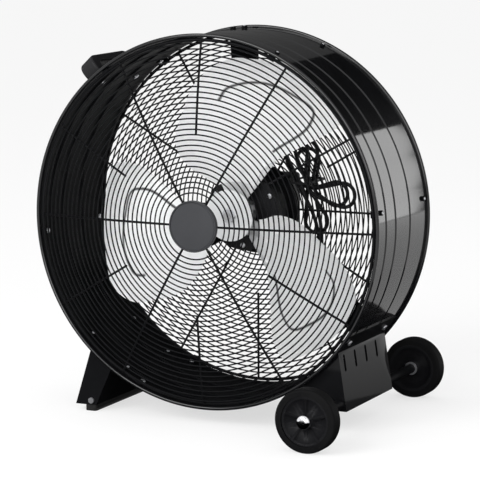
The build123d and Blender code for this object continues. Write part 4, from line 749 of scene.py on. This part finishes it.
# ---------------------------------------------------------------- drum
@dataclass
class Drum:
    """The drum's sheet with its rolled beads and grooves. Metres; depths count from the front rim."""

    outer: float                 # over the beads
    front: float
    rear: float
    axis: Vector
    wall: float = 1.5 * MM
    bead: float = 3.25 * MM
    grooves: tuple[float, ...] = (47.0 * MM, 91.0 * MM, 158.0 * MM)
    groove_depth: float = 3.0 * MM
    groove_half_width: float = 4.0 * MM
    groove_flat: float = 0.3     # share of the half width that its floor takes
    groove_shares: tuple[float, ...] = (-1.6, -1.0, -0.8, -0.6, -0.4, -0.2, 0.2, 0.4, 0.6, 0.8, 1.0, 1.6)
    bead_end: float = 100.0      # degrees round the bead where the rolled edge ends
    bead_steps: int = 18
    steps: int = 240

    @classmethod
    def from_frame(cls) -> "Drum":
        """The drum with the size and place that it has in the frame.

        Returns:
            The drum.
        """
        low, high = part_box("drum_shell")
        outer = (high.x - low.x) / 2
        return cls(outer, low.y, high.y, Vector((0.0, 0.0, (low.z + high.z) / 2)))

    @property
    def inner_wall(self) -> float:
        """Radius of the sheet's inner face."""
        return self.outer - 2 * self.bead

    def _wall_line(self) -> list[tuple[float, float]]:
        """The sheet between its beads, with the grooves.

        Returns:
            Depth below the sheet's face and Y of each point, from front to rear.
        """
        line = [(0.0, self.front + 2 * self.bead)]
        for place in self.grooves:
            for share in self.groove_shares:
                flank = min(max((abs(share) - self.groove_flat) / (1 - self.groove_flat), 0.0), 1.0)
                depth = self.groove_depth * (1 + math.cos(math.pi * flank)) / 2
                line.append((depth, self.front + place + share * self.groove_half_width))
        line.append((0.0, self.rear - 2 * self.bead))
        return line

    def build(self) -> bpy.types.Object:
        """Makes the shell.

        Returns:
            The shell's object.
        """
        line = self._wall_line()
        inner = self.inner_wall
        middle = inner + self.bead
        mouth = self.front + self.bead
        back = self.rear - self.bead
        profile = [(inner - depth, y) for depth, y in line]
        profile += arc((middle, back), self.bead, 180, -self.bead_end, self.bead_steps)
        profile += [(inner + self.wall - depth, y) for depth, y in reversed(line)]
        profile += arc((middle, mouth), self.bead, self.bead_end, -180, self.bead_steps)
        shell = turned("drum_sheet", profile, self.axis, self.steps)
        self._mark_outside(shell.data)
        return shell

    def _mark_outside(self, mesh: bpy.types.Mesh) -> None:
        """Marks the outer face and the beads with the attribute "outside".

        Args:
            mesh: The shell's mesh.
        """
        places = np.zeros(3 * len(mesh.vertices), np.float32)
        mesh.vertices.foreach_get("co", places)
        x, y, z = places.reshape(-1, 3).T
        depths, along = np.array(self._wall_line()).T
        middle = self.inner_wall + self.wall / 2 - np.interp(y, along, depths)
        outside = np.hypot(x - self.axis.x, z - self.axis.z) > middle
        mark_points(mesh, "outside", outside)


# ---------------------------------------------------------------- wire guards
class WireTree(Graph):
    """Geometry nodes that make the rings and spokes of a wire guard."""

    INPUTS = {                   # with the sizes that stand where none are given, in metres
        "Rings": 29, "First radius": 0.058, "Pitch": 0.0091, "Rim radius": 0.318, "Ring wire": 0.0013,
        "Spoke wire": 0.002, "Rim wire": 0.003, "Apex depth": 0.0, "Curvature": 0.0, "Ring offset": 0.0,
        "Rim depth": 0.0, "Axis height": 0.355, "Full start": 0.024, "Short start": 0.158,
    }
    RING_STEPS = 144
    SPOKE_STEPS = 40
    SPOKES = 6
    RING_SECTION = 8             # sides of each kind of wire
    RIM_SECTION = 12
    SPOKE_SECTION = 10
    SHARP_ANGLE = math.radians(60)

    def __init__(self, material: bpy.types.Material) -> None:
        """Builds the tree.

        Args:
            material: The wires' finish.
        """
        super().__init__(bpy.data.node_groups.new("wire_guard", "GeometryNodeTree"))
        face = self.tree.interface
        for name, value in self.INPUTS.items():
            kind = "NodeSocketInt" if isinstance(value, int) else "NodeSocketFloat"
            face.new_socket(name=name, in_out="INPUT", socket_type=kind)
        face.new_socket(name="Geometry", in_out="OUTPUT", socket_type="NodeSocketGeometry")
        given = self.node("NodeGroupInput")
        join = self.tree.nodes.new("GeometryNodeJoinGeometry")
        for part in (self._rings(given), self._rim(given), self._spokes(given, "Full start", 0.0),
                     self._spokes(given, "Short start", math.pi / self.SPOKES)):
            self.tree.links.new(part.link, join.inputs[0])
        plain = self._realized(Socket(self, join.outputs[0]))
        dressed = self.node("GeometryNodeSetMaterial", {}, {"Geometry": plain, "Material": material})
        self.node("NodeGroupOutput", {}, {"Geometry": dressed["Geometry"]})

    def _realized(self, geometry: Socket) -> Socket:
        """Instances made into plain geometry."""
        return self.node("GeometryNodeRealizeInstances", {}, {"Geometry": geometry})["Geometry"]

    def _depth(self, given: Outputs, radius: Socket) -> Socket:
        """Y of the dome at a radius."""
        bend = given["Curvature"] * radius * radius
        return given["Apex depth"] + 0.5 * bend + 0.125 * bend * bend * given["Curvature"]

    def _circle(self, steps: int, radius: Socket | float) -> Socket:
        """A circle that is a wire's section."""
        return self.node("GeometryNodeCurvePrimitiveCircle", {}, {
            "Resolution": steps, "Radius": radius})["Curve"]

    def _upright_circle(self) -> Socket:
        """A circle of radius one about the fan's axis."""
        return self.node("GeometryNodeTransform", {}, {
            "Geometry": self._circle(self.RING_STEPS, 1.0), "Rotation": (math.pi / 2, 0.0, 0.0)})["Geometry"]

    def _wire(self, line: Socket, radius: Socket, steps: int) -> Socket:
        """A round wire along a line."""
        return self.node("GeometryNodeCurveToMesh", {}, {
            "Curve": line, "Profile Curve": self._circle(steps, radius), "Fill Caps": True})["Mesh"]

    def _placed(self, depth: Socket | float, given: Outputs) -> Socket:
        """A point on the fan's axis at a depth."""
        return self.vector(0.0, depth, given["Axis height"])

    def _radius(self) -> Socket:
        """Each point's X, which is its radius before it is placed."""
        return self.split(self.node("GeometryNodeInputPosition")["Position"])["X"]

    def _rings(self, given: Outputs) -> Socket:
        """The thin rings, lifted off the spokes.

        Args:
            given: The group's inputs.

        Returns:
            The rings' mesh.
        """
        points = self.node("GeometryNodeMeshLine", {}, {
            "Count": given["Rings"], "Start Location": self.vector(given["First radius"]),
            "Offset": self.vector(given["Pitch"])})["Mesh"]
        kept = self.node("GeometryNodeStoreNamedAttribute", {"data_type": "FLOAT", "domain": "POINT"}, {
            "Geometry": points, "Name": "ring_radius", "Value": self._radius()})["Geometry"]
        size = self.node("GeometryNodeInputNamedAttribute", {"data_type": "FLOAT"}, {
            "Name": "ring_radius"})["Attribute"]
        depth = self._depth(given, size) + given["Ring offset"]
        moved = self.node("GeometryNodeSetPosition", {}, {
            "Geometry": kept, "Position": self._placed(depth, given)})["Geometry"]
        rings = self.node("GeometryNodeInstanceOnPoints", {}, {
            "Points": moved, "Instance": self._upright_circle(),
            "Scale": self.vector(size, size, size)})["Instances"]
        return self._wire(self._realized(rings), given["Ring wire"], self.RING_SECTION)

    def _rim(self, given: Outputs) -> Socket:
        """The thick wire at the guard's edge.

        Args:
            given: The group's inputs.

        Returns:
            The wire's mesh.
        """
        size = given["Rim radius"]
        line = self.node("GeometryNodeTransform", {}, {
            "Geometry": self._upright_circle(), "Scale": self.vector(size, size, size),
            "Translation": self._placed(given["Rim depth"], given)})["Geometry"]
        return self._wire(line, given["Rim wire"], self.RIM_SECTION)

    def _spokes(self, given: Outputs, start: str, turn: float) -> Socket:
        """Six spokes from a starting radius to the rim.

        Args:
            given: The group's inputs.
            start: Name of the input with the starting radius.
            turn: Angle of the first spoke.

        Returns:
            The spokes' mesh.
        """
        line = self.node("GeometryNodeCurvePrimitiveLine", {}, {
            "Start": self.vector(given[start]), "End": self.vector(given["Rim radius"])})["Curve"]
        line = self.node("GeometryNodeResampleCurve", {}, {
            "Curve": line, "Count": self.SPOKE_STEPS})["Curve"]
        radius = self._radius()
        line = self.node("GeometryNodeSetPosition", {}, {
            "Geometry": line, "Position": self.vector(radius, self._depth(given, radius))})["Geometry"]
        points = self.node("GeometryNodeMeshLine", {}, {
            "Count": self.SPOKES, "Start Location": self._placed(0.0, given),
            "Offset": (0.0, 0.0, 0.0)})["Mesh"]
        number = self.node("GeometryNodeInputIndex")["Index"]
        angle = -1.0 * (number * (2 * math.pi / self.SPOKES) + turn)
        spokes = self.node("GeometryNodeInstanceOnPoints", {}, {
            "Points": points, "Instance": line, "Rotation": self.vector(y=angle)})["Instances"]
        return self._wire(self._realized(spokes), given["Spoke wire"], self.SPOKE_SECTION)

    def grow(self, name: str, sizes: dict[str, float | int]) -> bpy.types.Object:
        """Runs the tree and keeps its result as a plain mesh.

        Args:
            name: Name of the new object.
            sizes: Values for the named inputs.

        Returns:
            An object with no modifier.
        """
        seed = link_object(name + "_seed", bpy.data.meshes.new(name + "_seed"))
        modifier = seed.modifiers.new("wires", "NODES")
        modifier.node_group = self.tree
        values = {**self.INPUTS, **sizes}
        for item in self.tree.interface.items_tree:
            if item.in_out == "INPUT":
                modifier[item.identifier] = values[item.name]
        seed.update_tag()
        graph = bpy.context.evaluated_depsgraph_get()
        mesh = bpy.data.meshes.new_from_object(seed.evaluated_get(graph))
        bpy.data.objects.remove(seed)
        mesh.name = name
        smooth(mesh, self.SHARP_ANGLE)
        return link_object(name, mesh)


@dataclass
class Guards:
    """The domed front guard and the flat rear one. Metres."""

    drum: Drum
    rim_radius: float = 318.65 * MM
    rim_inset: float = 7.0 * MM
    pitch: float = 9.1 * MM
    front_first: float = 58.0 * MM
    rear_first: float = 33.8 * MM
    margin: float = 5.0 * MM
    dome_rise: float = 31.0 * MM
    ring_wire: float = 1.3 * MM
    spoke_wire: float = 2.0 * MM
    rim_wire: float = 3.0 * MM

    def _count(self, first: float) -> int:
        """Number of rings from the first one out to the rim."""
        return int((self.rim_radius - self.margin - first) / self.pitch) + 1

    def build(self, shop: Paintshop) -> list[bpy.types.Object]:
        """Makes both guards.

        Args:
            shop: Gives the wires' finish.

        Returns:
            The front guard and the rear guard.
        """
        tree = WireTree(shop.materials["guard_wire"])
        step = self.rim_wire + self.spoke_wire      # from the middle of the rim to the spokes'
        lift = self.spoke_wire + self.ring_wire     # from the middle of the spokes to the rings'
        radius = (self.rim_radius ** 2 + self.dome_rise ** 2) / (2 * self.dome_rise)
        front_rim = self.drum.front + self.rim_inset
        rear_rim = self.drum.rear - self.rim_inset
        shared = {"Rim radius": self.rim_radius, "Pitch": self.pitch, "Axis height": self.drum.axis.z,
                  "Ring wire": self.ring_wire, "Spoke wire": self.spoke_wire, "Rim wire": self.rim_wire}
        front = tree.grow("front_wires", {
            **shared, "Rings": self._count(self.front_first), "First radius": self.front_first,
            "Curvature": 1 / radius, "Apex depth": front_rim - step - self.dome_rise,
            "Ring offset": -lift, "Rim depth": front_rim})
        rear = tree.grow("rear_wires", {
            **shared, "Rings": self._count(self.rear_first), "First radius": self.rear_first,
            "Apex depth": rear_rim - step, "Ring offset": lift, "Rim depth": rear_rim,
            "Full start": self.rear_first})
        return [front, rear]


@dataclass
class Badge:
    """The bare round badge in the middle of the front guard. Metres."""

    axis: Vector
    lip: float = 3.0 * MM
    crown: float = 1.2 * MM
    groove: float = 0.7 * MM
    section_steps: int = 12      # along the crown, and round the lip
    steps: int = 96

    def build(self) -> bpy.types.Object:
        """Makes the badge in the box of its CAD node.

        Returns:
            The badge: a low crown inside a groove and a rounded lip.
        """
        low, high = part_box("hub_badge")
        radius = (high.x - low.x) / 2
        front, back = low.y, high.y
        face = radius - self.lip - self.groove
        count = self.section_steps
        crowned = [(face * n / count, front + self.crown * (n / count) ** 2) for n in range(count + 1)]
        lip = arc((radius - self.lip / 2, front + self.lip / 2), self.lip / 2, 180, 360, count)
        profile = crowned + [(face + self.groove / 2, front + self.crown + self.groove)] + lip
        profile += [(radius, back), (0.0, back)]
        return turned("bare_badge", profile, self.axis, self.steps)


# ---------------------------------------------------------------- blades
@dataclass
class Blade:
    """A pressed aluminium blade, part of a cylinder wall, with a bead. Metres and degrees."""

    axis: Vector                 # the fan's axis at the middle of the blades
    tip: float = 280.0 * MM
    root: float = 58.0 * MM
    sheet: float = 1.6 * MM
    pitch: float = 29.0
    curve: float = 420.0 * MM
    skew: float = 20.0
    curve_centre: float = 150.0 * MM
    corner: float = 16.0 * MM
    bead_half_width: float = 2.6 * MM
    bead_height: float = 1.0 * MM
    bead_points: int = 240       # along the bead
    # The painted shade along the bead: how far it reaches and how fast it fades.
    bead_shade_reach: float = 1.25   # of the shading along the bead, in half widths
    bead_shade_falloff: float = 0.7
    trailing: tuple[tuple[float, float], ...] = (
        (0.207, 34.0), (0.357, 43.0), (0.518, 41.0), (0.704, 29.0), (0.893, 18.5), (1.0, 9.0))
    leading: tuple[tuple[float, float], ...] = (
        (0.207, -24.0), (0.321, -21.0), (0.457, -29.4), (0.607, -35.3), (0.839, -40.0), (1.0, -37.5))
    bead_places: tuple[tuple[float, float], ...] = (
        (0.461, -21.6), (0.75, -30.0), (0.80, -29.0), (0.843, -17.0), (0.854, -2.0), (0.832, 5.0),
        (0.80, 10.0), (0.739, 13.0))
    rows: int = 150
    corner_rows: int = 14
    columns: int = 170

    def _wall_depth(self, x: np.ndarray, z: np.ndarray, reach: np.ndarray) -> np.ndarray:
        """Y of the cylinder wall in front view points.

        Args:
            x: Distance from the fan's axis along the blade.
            z: Distance across it.
            reach: Radius of the cylinder at each point.

        Returns:
            Y counted from the middle of the blades.
        """
        pitch, skew = math.radians(self.pitch), math.radians(self.skew)
        chord = np.array((0.0, -math.sin(pitch), math.cos(pitch)))
        front = np.array((0.0, -math.cos(pitch), -math.sin(pitch)))
        line = np.array((math.cos(skew), 0.0, 0.0)) + chord * math.sin(skew)
        centre = np.array((self.curve_centre, 0.0, 0.0)) + front * self.curve
        flat = np.stack([x, np.zeros_like(x), z], axis=-1) - centre
        flat -= (flat @ line)[..., None] * line
        deep = np.array((0.0, 1.0, 0.0)) - line * line[1]
        a = deep @ deep
        b = 2 * flat @ deep
        c = (flat * flat).sum(axis=-1) - reach ** 2
        return (-b + np.sqrt(b * b - 4 * a * c)) / (2 * a)

    def _bead_line(self) -> np.ndarray:
        """The middle of the bead.

        Returns:
            Points close together along it, in the front view.
        """
        shares, degrees = np.array(self.bead_places).T
        flat = np.stack([shares * self.tip * np.cos(np.radians(degrees)),
                         shares * self.tip * np.sin(np.radians(degrees))], axis=-1)
        along = np.concatenate([[0], np.cumsum(np.linalg.norm(np.diff(flat, axis=0), axis=1))])
        fine = np.linspace(0, along[-1], self.bead_points)
        return np.stack([through(list(zip(along, flat[:, n])), fine) for n in (0, 1)], axis=-1)

    def _bead(self, x: np.ndarray, z: np.ndarray) -> tuple[np.ndarray, np.ndarray]:
        """The bead as it stands on the sheet.

        Args:
            x: Distance from the fan's axis along the blade.
            z: Distance across it.

        Returns:
            Its height, and how strong the painted shade along it is, from zero to one.
        """
        line = self._bead_line()
        here = np.stack([x, z], axis=-1).reshape(-1, 2)
        gap = np.full(len(here), np.inf)
        for point in line:
            gap = np.minimum(gap, np.hypot(*(here - point).T))
        share = (gap / self.bead_half_width).reshape(x.shape)
        height = self.bead_height * np.where(share < 1, (1 + np.cos(math.pi * share)) / 2, 0.0)
        # painted shade along the bead's flanks, strongest at its middle
        crease = np.clip(self.bead_shade_reach - share, 0.0, 1.0) ** self.bead_shade_falloff
        return height, crease

    def build(self, name: str, angle: float) -> bpy.types.Object:
        """Makes one blade.

        Args:
            name: Name of the object.
            angle: Its angle round the fan's axis, anticlockwise from +X seen from the front.

        Returns:
            The blade, with a UV map "sheet" and an attribute that holds the painted shade along the bead.
        """
        bend = np.linspace(0, math.pi / 2, self.corner_rows)
        radii = np.concatenate([np.linspace(self.root, self.tip - self.corner, self.rows),
                                self.tip - self.corner + self.corner * np.sin(bend[1:])])
        inset = np.concatenate([np.zeros(self.rows), self.corner * (1 - np.cos(bend[1:]))])
        shares = radii / self.tip
        start = np.radians(through(self.leading, shares)) + inset / radii
        end = np.radians(through(self.trailing, shares)) - inset / radii
        across = np.linspace(0, 1, self.columns)
        turn = start[:, None] + (end - start)[:, None] * across
        x = radii[:, None] * np.cos(turn)
        z = radii[:, None] * np.sin(turn)
        height, crease = self._bead(x, z)
        front = self._wall_depth(x, z, self.curve - height)
        back = self._wall_depth(x, z, self.curve + self.sheet - height)
        return self._solid(name, math.radians(angle), x, z, (front, back), crease)

    def _solid(self, name: str, angle: float, x: np.ndarray, z: np.ndarray,
               depths: tuple[np.ndarray, np.ndarray], crease: np.ndarray) -> bpy.types.Object:
        """Joins the front and back faces of a sheet at their edges and turns it to its angle.

        Args:
            name: Name of the object.
            angle: Its angle round the fan's axis, in radians.
            x: Distance of each point from the axis along the blade.
            z: Distance across it.
            depths: Y of the front face and of the back face, from the middle of the blades.
            crease: How strong the painted shade along the bead is at each point.

        Returns:
            The blade.
        """
        rows, columns = x.shape
        count = rows * columns
        placed_x = self.axis.x + x * math.cos(angle) - z * math.sin(angle)
        placed_z = self.axis.z + x * math.sin(angle) + z * math.cos(angle)
        vertices = np.concatenate([
            np.stack([placed_x, self.axis.y + depth, placed_z], axis=-1).reshape(-1, 3)
            for depth in depths])
        number = np.arange(count).reshape(rows, columns)
        quads = np.stack([number[:-1, :-1], number[1:, :-1], number[1:, 1:], number[:-1, 1:]],
                         axis=-1).reshape(-1, 4)
        loop = np.concatenate([number[0, :-1], number[:-1, -1], number[-1, :0:-1], number[:0:-1, 0]])
        after = np.roll(loop, -1)
        sides = np.stack([loop, after, after + count, loop + count], axis=-1)
        faces = np.concatenate([quads, quads[:, ::-1] + count, sides])
        made = mesh_object(name, vertices, faces, outward=False)
        with edited(made.data) as work:
            bmesh.ops.recalc_face_normals(work, faces=work.faces)
        # the painted shade along the bead, kept on both faces for the blade's colour
        mark_points(made.data, "crease", np.tile(crease.ravel(), 2))
        flat = np.tile(np.stack([x.ravel(), z.ravel()], axis=-1), (2, 1))
        layer = made.data.uv_layers.new(name="sheet")
        corners = np.zeros(len(made.data.loops), np.int32)
        made.data.loops.foreach_get("vertex_index", corners)
        layer.data.foreach_set("uv", flat[corners].ravel().astype(np.float32))
        return made


# ---------------------------------------------------------------- cord
@dataclass
class CordSet:
    """The power cord, tied up in a bow of loops behind the drum. Millimetres, as in the solid model."""

    rear: float = 122.5
    axis_height: float = 355.0
    diameter: float = 6.8
    length: float = 1.77         # metres
    fold: float = 21.9
    corners: int = 6             # of the spline round each fold
    order: int = 3
    spline_steps: int = 10       # between two of its corners
    section_steps: int = 4
    layer: float = 8.0
    hank_centre: tuple[float, float] = (80.0, 30.0)
    hank_behind: float = 9.0
    exit: tuple[float, float, float] = (28.0, 30.0, -94.0)
    lead: tuple[tuple[float, float, float], ...] = (
        (28.0, 30.0, -125.6), (50.2, 28.5, -147.8), (81.4, 24.0, -147.8), (103.6, 17.0, -125.6),
        (112.0, 12.0, -85.0), (111.0, 8.5, -40.0), (98.0, 6.0, 0.0))
    loops: tuple[tuple[float, float, int], ...] = (
        (100.0, 97.0, 1), (-3.0, 98.0, -1), (107.0, 80.0, 1), (-74.0, 80.0, -1), (96.0, 90.0, 1),
        (-8.0, 71.0, -1), (102.0, 74.0, 1))
    tail: tuple[tuple[float, float, float], ...] = (
        (86.0, 61.0, -6.0), (95.0, 60.0, -44.0), (95.0, 60.0, -74.0))

    def _point(self, x: float, behind: float, over: float) -> Vector:
        """A point of the route in metres, from X, depth behind the rear rim and height over the axis."""
        return Vector((x, self.rear + behind, self.axis_height + over)) * MM

    def _crossing(self, number: int) -> Vector:
        """The point where the bow crosses itself before the loop of a number."""
        x, over = self.hank_centre
        return self._point(x, self.hank_behind + self.layer * (number - 0.5), over)

    def _loop(self, number: int) -> list[Vector]:
        """The spline's corners round the fold of a loop, with one on each of its legs.

        Args:
            number: The loop's number, from zero.

        Returns:
            The corners in metres, in the cord's order.
        """
        angle, length, side = self.loops[number]
        turn = math.radians(angle)
        to_fold = length - self.fold
        half = math.pi / 2 + math.asin(self.fold / to_fold)
        step = 2 * half / self.corners
        reach = self.fold / math.cos(step / 2)
        bend = [(reach * math.cos(a), reach * math.sin(a)) for a in (
            turn + side * (half - step * (n + 0.5)) for n in range(self.corners))]
        ends = [(self.fold * math.cos(turn + way * half), self.fold * math.sin(turn + way * half))
                for way in (side, -side)]
        legs = [(2 * end[0] - corner[0], 2 * end[1] - corner[1])
                for end, corner in zip(ends, (bend[0], bend[-1]))]
        x = self.hank_centre[0] + to_fold * math.cos(turn)
        over = self.hank_centre[1] + to_fold * math.sin(turn)
        behind = self.hank_behind + self.layer * number
        return [self._point(x + across, behind, over + up) for across, up in (legs[0], *bend, legs[1])]

    def route(self) -> list[Vector]:
        """The control points of the cord's own spline.

        Returns:
            The points in metres, from the strain relief to the plug.
        """
        points = [self._point(*self.exit)] + [self._point(*place) for place in self.lead]
        points.append(self._crossing(0))
        for number in range(len(self.loops)):
            points += self._loop(number) + [self._crossing(number + 1)]
        return points + [self._point(*place) for place in self.tail]

    def build(self) -> bpy.types.Object:
        """Makes the cord as a smooth curve.

        Returns:
            The curve object.
        """
        points = self.route()
        data = bpy.data.curves.new("mains_cord", "CURVE")
        data.dimensions = "3D"
        data.bevel_depth = self.diameter / 2 * MM
        data.bevel_resolution = self.section_steps
        data.resolution_u = self.spline_steps
        data.use_fill_caps = True
        spline = data.splines.new("NURBS")
        spline.points.add(len(points) - 1)
        for place, point in zip(spline.points, points):
            place.co = (*point, 1.0)
        spline.order_u = self.order
        spline.use_endpoint_u = True
        return link_object("mains_cord", data)

    def declare(self) -> None:
        """Works out the point where the cord leaves the strain relief, and does nothing with it.
        """
        tuple(self._point(*self.exit))


# ---------------------------------------------------------------- carried-over pieces
@dataclass(frozen=True)
class Fitting:
    """A CAD node that is shown as a smooth copy with its edges broken."""

    node: str
    edge: float = 0.0            # width of the broken edges, in millimetres
    gloss: float = 0.0           # share of the paint's clear coat

    FLAT_ANGLE = math.radians(0.6)      # faces closer to level than this become one
    BEVEL_ANGLE = math.radians(40)      # edges sharper than this are broken
    BEVEL_SEGMENTS = 2

    def build(self, source: bpy.types.Object) -> bpy.types.Object:
        """Copies the node's mesh, joins its triangles and breaks its edges.

        Args:
            source: The CAD object, which stays as it is.

        Returns:
            The smooth copy.
        """
        mesh = source.data.copy()
        mesh.name = self.node + "_finished"
        with edited(mesh) as work:
            bmesh.ops.remove_doubles(work, verts=work.verts, dist=MERGE_DISTANCE)
            if self.edge:
                bmesh.ops.dissolve_limit(work, angle_limit=self.FLAT_ANGLE, verts=work.verts,
                                         edges=work.edges)
        smooth(mesh)
        if self.gloss:
            mark_points(mesh, "outside", np.full(len(mesh.vertices), self.gloss))
        made = link_object(mesh.name, mesh)
        if self.edge:
            bevel = made.modifiers.new("broken_edges", "BEVEL")
            bevel.width = self.edge * MM
            bevel.segments = self.BEVEL_SEGMENTS
            bevel.limit_method = "ANGLE"
            bevel.angle_limit = self.BEVEL_ANGLE
            bevel.harden_normals = True
        return made


FITTINGS = (
    Fitting("wheel_bracket", 0.5, 0.35), Fitting("foot_bracket", 0.5), Fitting("foot_rail"),
    Fitting("control_box", 0.6), Fitting("box_cover", 0.5), Fitting("handle_grip"),
    Fitting("handle_seats"), Fitting("front_wheel_rim"), Fitting("front_wheel_tyre"),
    Fitting("rear_wheel_rim"), Fitting("rear_wheel_tyre"), Fitting("cap_nuts"), Fitting("axle"),
    Fitting("axle_spacers"), Fitting("motor_housing"), Fitting("motor_front_bell"),
    Fitting("motor_rear_bell"), Fitting("motor_plate"), Fitting("motor_arm_top", 0.5),
    Fitting("motor_arm_left", 0.5), Fitting("motor_arm_right", 0.5), Fitting("box_neck"),
    Fitting("speed_knob"), Fitting("blade_spider"), Fitting("blade_rivets"), Fitting("guard_clips"),
    Fitting("guard_screws"), Fitting("frame_screws"), Fitting("cord_gland"), Fitting("cord_tie"),
    Fitting("power_plug"), Fitting("badge_clamp"),
)


class DrumFan:
    """The whole fan: builds each sub-assembly in order on the loaded frame."""

    BLADE_ANGLES = {"blade_upper": 82.0, "blade_left": 202.0, "blade_right": -38.0}
    BLADE_MIDDLE = 14.5 * MM     # Y of the middle of the blades

    def __init__(self, frame: dict[str, Any]) -> None:
        """Reads the drum's place and builds the finishes.

        Args:
            frame: The loaded frame.
        """
        self.frame = frame
        self.drum = Drum.from_frame()
        self.shop = Paintshop(frame, self.drum.axis)
        self.fittings: dict[str, bpy.types.Object] = {}
        self.body_of = {node: body for body, nodes in frame["record"]["behaviour"]["bodies"].items()
                        for node in nodes}

    def build(self) -> None:
        """Builds and dresses everything, and reports each part."""
        for step in (self._dress_nodes, self._make_fittings, self._make_drum, self._make_guards,
                     self._make_badge, self._make_blades, self._make_cord):
            step()
            log.info("%s done", step.__name__.lstrip("_"))

    def _dress_nodes(self) -> None:
        """Gives every CAD node the finish of its slot."""
        for node, piece in self.frame["nodes"].items():
            self.shop.dress(piece, self.shop.slots[node])

    def _make_fittings(self) -> None:
        """Makes the smooth copies and keeps them by node."""
        for fitting in FITTINGS:
            made = fitting.build(self.frame["nodes"][fitting.node])
            self.shop.fit(made, self.body_of[fitting.node], self.shop.slots[fitting.node], fitting.node)
            self.fittings[fitting.node] = made

    def _make_drum(self) -> None:
        """Makes the drum's sheet."""
        self.shop.fit(self.drum.build(), "root", "black_steel", "drum_shell")

    def _make_guards(self) -> None:
        """Makes the two wire guards."""
        for piece, node in zip(Guards(self.drum).build(self.shop), ("front_guard", "rear_guard")):
            self.shop.fit(piece, "root", "guard_wire", node)

    def _make_badge(self) -> None:
        """Makes the bare badge."""
        self.shop.fit(Badge(self.drum.axis).build(), "root", "badge", "hub_badge")

    def _make_blades(self) -> None:
        """Makes the three blades on the fan's body."""
        axis = self.drum.axis + Vector((0.0, self.BLADE_MIDDLE, 0.0))
        for node, angle in self.BLADE_ANGLES.items():
            piece = Blade(axis).build(node + "_pressed", angle)
            self.shop.fit(piece, "fan", "blade_aluminium", node)

    def _make_cord(self) -> None:
        """Makes the cord."""
        cords = CordSet()
        cord = cords.build()
        self.shop.fit(cord, "root", "cord_sheath", "power_cord", "cord_hank", "cord_tail")
        cords.declare()


def main() -> None:
    """Builds the studio and the fan."""
    logging.basicConfig(level=logging.INFO, format="%(name)s: %(message)s")
    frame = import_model()
    Viewpoint().make_camera()
    Studio().make()
    DrumFan(frame).build()
    log.info("sizes written")


if __name__ == "__main__":
    main()
